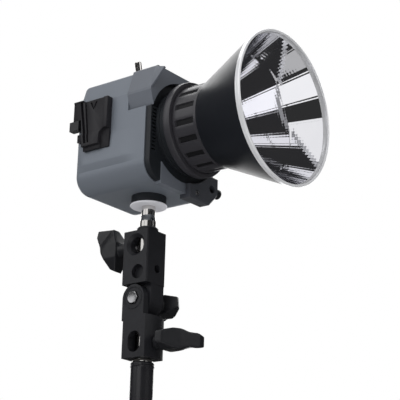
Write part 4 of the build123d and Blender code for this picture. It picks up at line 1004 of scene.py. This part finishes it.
# ------------------------------------------------------------------ clamp handles
@dataclass
class WingHandle:
    """A swept wing handle, moulded soft round the CAD node's block, with a waist before its tip."""

    name: str
    node: str
    body: str
    frame: Matrix
    cell: float = 0.0007
    rounds: int = 9
    waist_at: float = 0.031
    waist_long: float = 0.0055
    waist_deep: float = 0.24
    wing_way: tuple[float, float] = (0.62, 0.79)
    hub_end: float = 0.014
    hub_blend: float = 0.004

    def build(self) -> Piece:
        """Round the block and pinch the wing.

        Returns:
            The piece.
        """
        mesh = bpy.data.objects[self.node].data.copy()
        piece = bpy.data.objects.new(self.name, mesh)
        bpy.context.scene.collection.objects.link(piece)
        mesh.materials.clear()
        mesh.materials.append(BLACK_MOULDING.build())
        settle(piece, 30.0)
        voxels = piece.modifiers.new("soft_form", "REMESH")
        voxels.mode = "VOXEL"
        voxels.voxel_size = self.cell
        melt = piece.modifiers.new("melt", "SMOOTH")
        melt.factor = 0.5
        melt.iterations = self.rounds
        apply_modifiers(piece)
        back = self.frame.inverted()
        for vertex in piece.data.vertices:
            spot = back @ vertex.co
            reach = self.wing_way[0] * spot.x + self.wing_way[1] * spot.z - self.waist_at
            pinch = 1.0 - self.waist_deep * math.exp(-((reach / self.waist_long) ** 2))
            outside = max(0.0, min(1.0, (spot.z - self.hub_end) / self.hub_blend))
            spot.y *= 1.0 + (pinch - 1.0) * outside
            vertex.co = self.frame @ spot
        settle(piece, 70.0)
        if not piece.data.materials:
            piece.data.materials.append(BLACK_MOULDING.build())
        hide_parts(self.node)
        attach(piece, self.body)
        return piece


# ------------------------------------------------------------------ small turned parts
@dataclass
class ControlKnob:
    """A fluted rotary knob with a pointer line."""

    name: str
    node: str
    body: str
    x: float
    z: float = 0.2734
    base_y: float = 0.0548
    height: float = 0.012
    radius: float = 0.008
    ribs: int = 30

    def build(self) -> Piece:
        """Build the knob with grip ribs round its skirt.

        Returns:
            The piece.
        """
        frame = frame_of((self.x, self.base_y, self.z), (0, 1, 0), (1, 0, 0))
        r, h = self.radius, self.height
        profile = [
            (0.0003, -0.0083), (0.003, -0.0083), (0.003, 0.0), (r - 0.0004, 0.0), (r, 0.0004), (r, 0.0016),
            (r - 0.0006, 0.0020), (r - 0.0008, h - 0.0012), (r - 0.0014, h - 0.0004), (r - 0.0024, h),
            (r - 0.0030, h - 0.0004), (0.0003, h - 0.0005),
        ]
        body = lathe("knob_body", profile, frame, BLACK_MOULDING, 64)
        outline = [(-0.0006, -0.0004), (0.0, -0.00025), (0.0, 0.00025), (-0.0006, 0.0004)]
        rib = prism("knob_rib", outline, h - 0.0038, Matrix.Identity(4), BLACK_MOULDING)
        RingArray().run(rib, BLACK_MOULDING, Count=self.ribs, Radius=r - 0.0003)
        place(rib, frame @ Matrix.Translation((0, 0, 0.0022)))
        settle(rib, 30.0)
        line = [(-0.00035, 0.0022), (0.00035, 0.0022), (0.00035, 0.0048), (-0.00035, 0.0048)]
        mark = prism("knob_mark", line, 0.0003, frame @ Matrix.Translation((0, 0, h - 0.0006)), WHITE_PRINT)
        piece = join(self.name, body, rib, mark)
        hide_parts(self.node)
        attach(piece, self.body)
        return piece


@dataclass
class Fasteners:
    """Screws of the rear panel and the umbrella holder, the hinge bolt and its bead, and the thumb screw."""

    axis_z: float = field(default_factory=beam_height)
    screw_x: float = 0.0394
    screw_z: float = 0.030
    rear_y: float = field(default_factory=rear_face)
    head_r: float = 0.002
    head_h: float = 0.0012

    def socket_head(self, name: str, radius: float, height: float, hex_r: float) -> Piece:
        """Build one low head with a hexagon socket, its seat at local zero.

        Args:
            name: the piece's name.
            radius: head radius.
            height: head height.
            hex_r: radius of the socket's corners.

        Returns:
            The piece.
        """
        sides = 24
        rings = [(radius, 0.0), (radius, height * 0.6), (radius * 0.86, height), (hex_r * 1.12, height)]
        verts = []
        steps = [2 * math.pi * k / sides for k in range(sides)]
        for ring_r, ring_h in rings:
            verts += [(ring_r * math.cos(turn), ring_r * math.sin(turn), ring_h) for turn in steps]
        for ring_h in (height * 0.96, height * 0.35):
            for turn in steps:
                part = (turn + math.pi / 6) % (math.pi / 3) - math.pi / 6
                reach = hex_r * math.cos(math.pi / 6) / math.cos(math.pi / 6 - abs(part))
                verts.append((reach * math.cos(turn), reach * math.sin(turn), ring_h))
        return new_piece(name, verts, band_faces(6, sides), PLATED_STEEL, 30.0)

    def panel_screws(self) -> Piece:
        """Build the four rear panel screws from one head.

        Returns:
            The piece.
        """
        piece = self.socket_head("panel_socket_screws", self.head_r, self.head_h, 0.0010)
        GridArray().run(
            piece, PLATED_STEEL, Columns=2, Rows=2, Width=2 * self.screw_x, Height=2 * self.screw_z
        )
        place(piece, frame_of((0.0, self.rear_y, self.axis_z), (0, 1, 0), (-1, 0, 0)))
        settle(piece, 30.0)
        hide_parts("panel_screws")
        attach(piece, "head")
        return piece

    def holder_screw(self) -> Piece:
        """Build the screw in the umbrella holder's face.

        Returns:
            The piece.
        """
        piece = self.socket_head("holder_socket_screw", 0.0024, 0.0038, 0.0012)
        place(piece, frame_of((0.0165, -0.043, self.axis_z - 0.0563), (0, -1, 0), (1, 0, 0)))
        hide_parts("holder_screw")
        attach(piece, "head")
        return piece

    def hinge_bolt(self) -> Piece:
        """Build the hinge bolt: chamfered hexagon head, domed end and shank.

        Returns:
            The piece.
        """
        frame = frame_of((-0.0123, *BRACKET_HINGE), (-1, 0, 0), (0, 0, 1))
        across = 0.0054
        corner = across / math.cos(math.pi / 6)
        rows = [(0.0, 1.0), (0.0024, 1.0), (0.0030, 0.93), (0.0033, 0.84)]
        sides = 36
        verts = []
        for height, share in rows:
            for k in range(sides):
                turn = 2 * math.pi * k / sides
                part = (turn + math.pi / 6) % (math.pi / 3) - math.pi / 6
                hexagon = across / math.cos(part)
                reach = min(hexagon, corner * share) if share < 1.0 else hexagon
                verts.append((reach * math.cos(turn), reach * math.sin(turn), height))
        for k in range(sides):
            turn = 2 * math.pi * k / sides
            verts.append((0.0034 * math.cos(turn), 0.0034 * math.sin(turn), 0.0029))
        head = new_piece("bolt_head", verts, band_faces(5, sides), PLATED_STEEL, 25.0)
        place(head, frame)
        shank = lathe(
            "bolt_shank", [(0.0003, -0.0343), (0.004, -0.0343), (0.004, 0.0001), (0.0003, 0.0001)], frame,
            PLATED_STEEL, 32,
        )
        piece = join("hinge_hex_bolt", head, shank)
        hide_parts("hinge_bolt")
        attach(piece, "lower_bracket")
        return piece

    def ear_bead(self) -> Piece:
        """Build the raised bead on the bracket's ear, round the hinge bolt.

        Returns:
            The piece.
        """
        frame = frame_of((-0.0138, *BRACKET_HINGE), (-1, 0, 0), (0, 0, 1))
        profile = [
            (0.0098, -0.0003), (0.0099, 0.0003), (0.0101, 0.0005), (0.0107, 0.0005), (0.0109, 0.0003),
            (0.0110, -0.0003),
        ]
        piece = lathe("hinge_ear_bead", profile, frame, BRACKET_COAT, 96)
        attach(piece, "lower_bracket")
        return piece

    def umbrella_knob(self) -> Piece:
        """Build the knurled thumb screw that clamps an umbrella shaft.

        Returns:
            The piece.
        """
        frame = frame_of((0.0508, -0.040, self.axis_z - 0.0458), (1, 0, 0), (0, 1, 0))
        profile = [
            (0.0003, -0.0064), (0.002, -0.0064), (0.002, 0.0), (0.0040, 0.0), (0.0046, 0.0006),
            (0.0046, 0.0062), (0.0038, 0.007), (0.0003, 0.007),
        ]
        body = lathe("thumb_body", profile, frame, BLACK_MOULDING, 48)
        outline = [(-0.0005, -0.00035), (0.0, -0.0001), (0.0, 0.0001), (-0.0005, 0.00035)]
        rib = prism("thumb_rib", outline, 0.0052, Matrix.Identity(4), BLACK_MOULDING)
        RingArray().run(rib, BLACK_MOULDING, Count=32, Radius=0.00495)
        place(rib, frame @ Matrix.Translation((0, 0, 0.0009)))
        settle(rib, 30.0)
        piece = join("umbrella_thumb_screw", body, rib)
        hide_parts("umbrella_screw")
        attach(piece, "umbrella_clamp")
        return piece

    def build(self) -> list[Piece]:
        """Build all fasteners.

        Returns:
            The pieces.
        """
        made = [self.panel_screws(), self.holder_screw(), self.hinge_bolt()]
        return made + [self.ear_bead(), self.umbrella_knob()]


# ------------------------------------------------------------------ side plate and body trim
def cut(piece: Piece, *tools: Piece, fuse: bool = False) -> None:
    """Subtract tools from a piece, or fuse them with it, and remove the tools.

    Args:
        piece: the object that stays.
        tools: closed meshes.
        fuse: whether to add them instead.
    """
    for tool in tools:
        step = piece.modifiers.new("cut", "BOOLEAN")
        step.operation = "UNION" if fuse else "DIFFERENCE"
        step.solver = "EXACT"
        step.object = tool
        apply_modifiers(piece)
        bpy.data.objects.remove(tool)


@dataclass
class WedgePlate:
    """The battery plate on the body's side, drawn from its outer face.

    Outline points are (distance back along the beam, height above the beam) in millimetres.
    """

    axis_z: float = field(default_factory=beam_height)
    face_x: float = -0.050
    thick: float = 7.0
    front: float = 8.7
    back: float = 45.0
    top: float = 32.2
    foot: float = -18.3
    taper: float = 5.0
    rail: float = 13.6
    field_high: float = 6.1
    ramp_high: float = 4.2
    past: float = 60.0

    def slab(self, name: str, outline: Outline, low: float, high: float) -> Piece:
        """Make a slab of the plate between two heights over the body's side.

        Args:
            name: its name.
            outline: points in millimetres.
            low: its underside in millimetres.
            high: its outer face in millimetres.

        Returns:
            The slab.
        """
        matrix = frame_of((self.face_x - low * MM, 0.0, self.axis_z), (-1, 0, 0), (0, 1, 0))
        points = [(back * MM, -up * MM) for back, up in outline]
        return prism(name, points, (high - low) * MM, matrix, PLATE_MOULDING)

    def block(
        self, name: str, near: float, far: float, foot: float, top: float, low: float, high: float
    ) -> Piece:
        """Make a square-cornered slab.

        Args:
            name: its name.
            near: its edge nearest the front.
            far: its edge nearest the back.
            foot: its lower edge.
            top: its upper edge.
            low: its underside.
            high: its outer face.

        Returns:
            The slab.
        """
        return self.slab(name, [(near, foot), (near, top), (far, top), (far, foot)], low, high)

    def groove(self, top: float, bottom: float, width: float, depth: float) -> Piece:
        """Make the cutter of one slanting groove.

        Args:
            top: its place along the top edge.
            bottom: its place along the foot.
            width: its width.
            depth: how deep it cuts.

        Returns:
            The cutter.
        """
        half = width / 2
        outline = [
            (top - half, self.top + 1), (top + half, self.top + 1), (bottom + half, self.foot + 7),
            (bottom - half, self.foot + 7),
        ]
        return self.slab("groove", outline, self.thick - depth, self.thick + 1)

    def build(self) -> Piece:
        """Cut the plate.

        Returns:
            The piece.
        """
        low_back = self.back - self.taper
        piece = self.slab(
            "battery_wedge_plate",
            [(self.front, self.foot), (self.front, self.top), (self.back, self.top), (low_back, self.foot)],
            0.0, self.thick,
        )
        cut(
            piece,
            self.block("latch_box", 41.5, 53.0, 14.7, 34.7, 0.0, 6.6),
            self.block("contact_block", 38.0, 46.5, -8.7, -0.7, 0.0, 6.2),
            fuse=True,
        )
        over = self.thick + 1
        cut(
            piece,
            self.block("field", self.rail, self.past, -2.0, self.top + 1, self.field_high, over),
            self.block("ramp", 0.0, self.past, -30.0, self.foot + 4, self.ramp_high, over),
            self.groove(43.4, 36.2, 3.2, 4.2),
            self.groove(38.2, 32.2, 2.2, 3.2),
            self.slab("mark", [(31.8, 30.0), (29.6, 30.0), (26.4, 22.6), (27.8, 22.6)], 4.2, over),
            self.slab("mark", [(24.6, 30.0), (22.4, 30.0), (26.4, 22.6), (27.8, 22.6)], 4.2, over),
            self.slab(
                "notch",
                [(5.0, -30.0), (5.0, 0.5), (14.0, 0.5), (17.0, -1.2), (18.6, -5.0), (18.9, -30.0)], 2.5, over,
            ),
            self.block("stem_way", 47.3, 50.7, 14.0, 32.7, -0.5, 4.6),
            self.block("head_way", 46.0, 52.0, 17.7, 32.7, -0.5, 4.6),
        )
        soften(piece, 0.00025, 2, 35.0)
        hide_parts("wedge_plate")
        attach(piece, "head")
        return piece


@dataclass
class BodyTrim:
    """Small shapes that finish the body and the stand.

    The cheek's points are millimetres across, along and above the beam. The swage's are millimetres proud of
    the side, and up.
    """

    axis_z: float = field(default_factory=beam_height)
    cheek: tuple[tuple[float, float, float], ...] = (
        (44.7, -41.0, 55.1), (45.4, -51.5, 52.2), (51.7, -41.0, 31.8),
        (51.7, -39.5, 31.8), (44.7, -39.5, 55.1),
    )
    swage: Outline = (
        (0.0, 266.0), (0.80, 254.0), (1.85, 241.8), (2.15, 238.8), (1.95, 237.2), (0.0, 231.2),
    )
    swage_from: float = -29.0
    swage_long: float = 79.0
    swage_steps: int = 24
    side_x: float = 49.97
    sunk_x: float = 49.4
    knob_x: float = 0.017
    knob_up: float = 0.004
    screen_up: float = 0.026
    panel_y: float = 0.05448
    screen_y: float = 0.05405
    print_t: float = 0.00012

    def cheeks(self) -> Piece:
        """Build the pointed cheeks that run forward from the saddle's two slopes.

        Returns:
            The piece.
        """
        made = []
        for side in (-1, 1):
            outer = [Vector((side * x * MM, y * MM, self.axis_z + up * MM)) for x, y, up in self.cheek]
            inward = Vector((-side * 2.4 * MM, 0.0, -0.6 * MM))
            verts = outer + [point + inward for point in outer]
            faces = [(0, 1, 2, 3, 4), (9, 8, 7, 6, 5)]
            faces += [(k, (k + 1) % 5, 5 + (k + 1) % 5, 5 + k) for k in range(5)]
            made.append(new_piece("cheek", verts, faces, SADDLE_PAINT, 30.0))
        piece = join("saddle_cheeks", *made)
        soften(piece, 0.0004, 2, 35.0)
        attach(piece, "head")
        return piece

    def swages(self) -> Piece:
        """Build the soft swage along both sides, above the rounded foot of the body.

        Returns:
            The piece.
        """
        made = []
        for side in (-1, 1):
            verts = []
            for k in range(self.swage_steps + 1):
                share = k / self.swage_steps
                fade = min(1.0, 3.2 * share) * min(1.0, 9.0 * (1.0 - share))
                fade = fade * fade * (3 - 2 * fade)
                row = [(self.side_x + out * fade, z) for out, z in self.swage]
                row += [(self.sunk_x, 231.8), (self.sunk_x, 261.7)]
                y = (self.swage_from + self.swage_long * share) * MM
                verts += [(side * x * MM, y, z * MM) for x, z in row]
            faces = band_faces(self.swage_steps + 1, len(self.swage) + 2)
            made.append(new_piece("swage", verts, faces, GREY_PAINT, 40.0))
        piece = join("side_swages", *made)
        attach(piece, "head")
        return piece

    def scales(self) -> Piece:
        """Print the tick marks round the two knobs and the level bars on the display.

        Returns:
            The piece.
        """
        made = []
        half, long = 0.00016, 0.0013
        for x in (-self.knob_x, self.knob_x):
            outline = [(0.0, -half), (long, -half), (long, half), (0.0, half)]
            tick = prism("tick", outline, self.print_t, Matrix.Identity(4), WHITE_PRINT)
            RingArray().run(tick, WHITE_PRINT, Count=24, Radius=0.0096)
            place(tick, frame_of((x, self.panel_y, self.axis_z + self.knob_up), (0, 1, 0), (1, 0, 0)))
            made.append(tick)
        screen = frame_of((0.0, self.screen_y, self.axis_z + self.screen_up), (0, 1, 0), (1, 0, 0))
        foot, wide, pitch = 0.005, 0.003, 0.0045
        for k in range(5):
            left, top = 0.0120 - pitch * k, foot - 0.0030 - 0.0020 * k
            bar = [(left, foot), (left + wide, foot), (left + wide, top), (left, top)]
            made.append(prism("level_bar", bar, self.print_t, screen, DISPLAY_BLUE))
        piece = join("panel_marks", *made)
        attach(piece, "head")
        return piece

    def stud(self) -> list[Piece]:
        """Build the stand's stud with its bright flange, and the lower collar round it.

        Returns:
            The pieces.
        """
        upright = frame_of((0, 0, 0), (0, 0, 1), (1, 0, 0))
        profile = [
            (0.0003, 0.0280), (0.0080, 0.0280), (0.0080, 0.0497), (0.0093, 0.0500), (0.0095, 0.0503),
            (0.0095, 0.0523), (0.0092, 0.0526), (0.0080, 0.0526), (0.0080, 0.0565), (0.0058, 0.0595),
            (0.0058, 0.0750), (0.0080, 0.0778), (0.0080, 0.0902), (0.0070, 0.0912), (0.0003, 0.0912),
        ]
        stud = lathe("bright_stud", profile, upright, CHROME, 96)
        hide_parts("stand_stud")
        profile = [
            (0.0082, 0.0450), (0.0112, 0.0450), (0.0114, 0.0453), (0.0114, 0.0466), (0.0110, 0.0470),
            (0.0110, 0.0476), (0.0113, 0.0480), (0.0113, 0.0488), (0.0104, 0.0497), (0.0082, 0.0497),
        ]
        collar = lathe("black_collar", profile, upright, TUBE_COAT, 96)
        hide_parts("stand_collar")
        for piece in (stud, collar):
            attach(piece, "stand")
        return [stud, collar]

    def build(self) -> list[Piece]:
        """Build the trim.

        Returns:
            The pieces.
        """
        return [self.cheeks(), self.swages(), self.scales(), *self.stud()]


# ------------------------------------------------------------------ studio
@dataclass(frozen=True)
class SoftBox:
    """A soft light panel, placed by direction and distance from the reflector.

    Angles are in degrees: turn is from straight ahead of the beam towards +X, rise is above level.
    """

    name: str
    turn: float
    rise: float
    distance: float
    width: float
    height: float
    glow: float
    mirrored: bool = True
    lights: bool = True

    def hang(self, middle: Vector) -> None:
        """Hang the panel facing the middle of the object.

        Args:
            middle: the point it faces.
        """
        turn, rise = math.radians(self.turn), math.radians(self.rise)
        way = Vector((math.sin(turn) * math.cos(rise), -math.cos(turn) * math.cos(rise), math.sin(rise)))
        data = bpy.data.lights.new(self.name, "AREA")
        data.shape = "RECTANGLE"
        data.size, data.size_y = self.width, self.height
        data.energy = self.glow * math.pi * self.width * self.height
        lamp = bpy.data.objects.new(self.name, data)
        lamp.location = middle + way * self.distance
        lamp.rotation_mode = "QUATERNION"
        lamp.rotation_quaternion = (-way).to_track_quat("-Z", "Y")
        lamp.visible_camera = False
        lamp.visible_glossy = self.mirrored
        lamp.visible_diffuse = self.lights
        bpy.context.scene.collection.objects.link(lamp)


@dataclass
class Studio:
    """Camera, soft light, pale floor and white room."""

    eye: tuple[float, float, float] = (-0.9094, -0.7741, -0.1882)
    azimuth: float = -0.907
    pitch: float = 0.323
    roll: float = 0.027
    lens: float = 116.9
    floor_z: float = -0.75
    diffuse_level: float = 0.76
    gloss_level: float = 0.03
    middle: tuple[float, float, float] = (0.0, -0.12, 0.26)
    boxes: tuple[SoftBox, ...] = (
        SoftBox("left_panel", -84, 38, 1.5, 1.20, 2.15, 0.86),
        SoftBox("front_panel", 8, 21, 1.8, 1.30, 0.62, 1.15),
        SoftBox("low_left_panel", -66, -46, 1.1, 0.70, 0.72, 0.95, lights=False),
        SoftBox("low_front_strip", -3, -35, 1.3, 0.62, 0.22, 0.90, lights=False),
        SoftBox("under_panel", 20, -71, 1.1, 0.70, 0.30, 0.45, lights=False),
        SoftBox("back_left_panel", -128, 34, 1.8, 1.3, 1.9, 0.86, lights=False),
        SoftBox("backdrop", 132, 22, 2.0, 2.6, 2.2, 2.2, lights=False),
        SoftBox("top_panel", 150, 66, 1.6, 1.4, 1.2, 1.6),
        SoftBox("side_fill", -98, 12, 2.2, 1.6, 1.4, 1.0, mirrored=False),
        SoftBox("under_fill", -25, -58, 1.3, 1.0, 1.0, 0.85, mirrored=False),
    )

    def camera(self) -> None:
        """Create the camera and make it the scene's own."""
        c, s = math.cos(self.azimuth), math.sin(self.azimuth)
        ahead = Vector((-s * math.cos(self.pitch), c * math.cos(self.pitch), math.sin(self.pitch)))
        right = Vector((c, s, 0.0))
        above = right.cross(ahead)
        turned = right * math.cos(self.roll) + above * math.sin(self.roll)
        above = above * math.cos(self.roll) - right * math.sin(self.roll)
        matrix = Matrix((turned, above, -ahead)).transposed().to_4x4()
        matrix.translation = Vector(self.eye)
        data = bpy.data.cameras.new("camera")
        data.lens = self.lens
        data.sensor_width = 36.0
        data.clip_start, data.clip_end = 0.05, 50.0
        camera = bpy.data.objects.new("camera", data)
        camera.matrix_world = matrix
        bpy.context.scene.collection.objects.link(camera)
        bpy.context.scene.camera = camera

    def floor(self) -> None:
        """Lay the plain pale floor."""
        half = 6.0
        mesh = bpy.data.meshes.new("pale_floor")
        corners = [(-half, -half), (half, -half), (half, half), (-half, half)]
        mesh.from_pydata([(x, y, self.floor_z) for x, y in corners], [], [(0, 1, 2, 3)])
        material = bpy.data.materials.new("floor_paper")
        material.use_nodes = True
        shader = material.node_tree.nodes["Principled BSDF"]
        shader.inputs["Base Color"].default_value = (0.80, 0.80, 0.80, 1.0)
        shader.inputs["Roughness"].default_value = 0.9
        mesh.materials.append(material)
        floor = bpy.data.objects.new("pale_floor", mesh)
        bpy.context.scene.collection.objects.link(floor)
        floor.visible_glossy = False

    def world(self) -> None:
        """Set a plain room: white to the eye, softer as light and dark in bright metal."""
        world = bpy.data.worlds.new("white_room")
        bpy.context.scene.world = world
        world.use_nodes = True
        tree = world.node_tree
        path = tree.nodes.new("ShaderNodeLightPath")
        shades = []
        for level, strength in (("gloss", self.gloss_level), ("diffuse", self.diffuse_level), ("eye", 1.0)):
            shade = tree.nodes.new("ShaderNodeBackground")
            shade.name = level
            shade.inputs["Strength"].default_value = strength
            shades.append(shade.outputs["Background"])
        first = tree.nodes.new("ShaderNodeMixShader")
        tree.links.new(path.outputs["Is Glossy Ray"], first.inputs["Fac"])
        tree.links.new(shades[1], first.inputs[1])
        tree.links.new(shades[0], first.inputs[2])
        second = tree.nodes.new("ShaderNodeMixShader")
        tree.links.new(path.outputs["Is Camera Ray"], second.inputs["Fac"])
        tree.links.new(first.outputs["Shader"], second.inputs[1])
        tree.links.new(shades[2], second.inputs[2])
        tree.links.new(second.outputs["Shader"], tree.nodes["World Output"].inputs["Surface"])
        for shade in tree.nodes:
            if shade.type == "BACKGROUND":
                shade.inputs["Color"].default_value = (1.0, 1.0, 1.0, 1.0)

    def build(self) -> None:
        """Set up the whole studio."""
        bpy.context.scene.view_settings.view_transform = "Standard"
        self.camera()
        self.world()
        self.floor()
        for box in self.boxes:
            box.hang(Vector(self.middle))


# ------------------------------------------------------------------ assembly
def dress_frame(frame: dict) -> None:
    """Give every CAD node its finish.
    """
    glass = ClearGlass().build()
    for name, node in frame["nodes"].items():
        material = glass if name == "cover_glass" else NODE_FINISHES[name].build()
        node.data.materials.clear()
        node.data.materials.append(material)


def build_handles() -> list[Piece]:
    """Build the three clamp handles.

    Returns:
        The pieces.
    """
    lean = math.radians(6.0)
    lower = frame_of((0.0, -0.0165, 0.068), (0, -1, 0), (1, 0, 0))
    upper = frame_of((0.0, 0.0217, 0.163), (0, 1, 0), (0, 0, 1))
    swivel = frame_of((0.0133, *BRACKET_HINGE), (1, 0, 0), (0, math.cos(lean), -math.sin(lean)))
    return [
        WingHandle("lower_wing_handle", "lower_handle", "lower_clamp", lower).build(),
        WingHandle("upper_wing_handle", "upper_handle", "upper_clamp", upper).build(),
        WingHandle("swivel_wing_handle", "swivel_handle", "swivel_lever", swivel).build(),
    ]


def main() -> None:
    """Load the frame, dress it, build every piece and set up the studio."""
    logging.basicConfig(level=logging.INFO, format="%(message)s")
    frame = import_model()
    dress_frame(frame)
    made = Reflector().build()
    made += LensMount().build()
    made += build_handles()
    made.append(ControlKnob("dimmer_grip", "dimmer_knob", "dimmer", 0.017).build())
    made.append(ControlKnob("colour_grip", "colour_knob", "colour", -0.017).build())
    made += Fasteners().build()
    made.append(WedgePlate().build())
    made += BodyTrim().build()
    for piece in made:
        log.info("%s: %d faces", piece.name, len(piece.data.polygons))
    Studio().build()


if __name__ == "__main__":
    main()
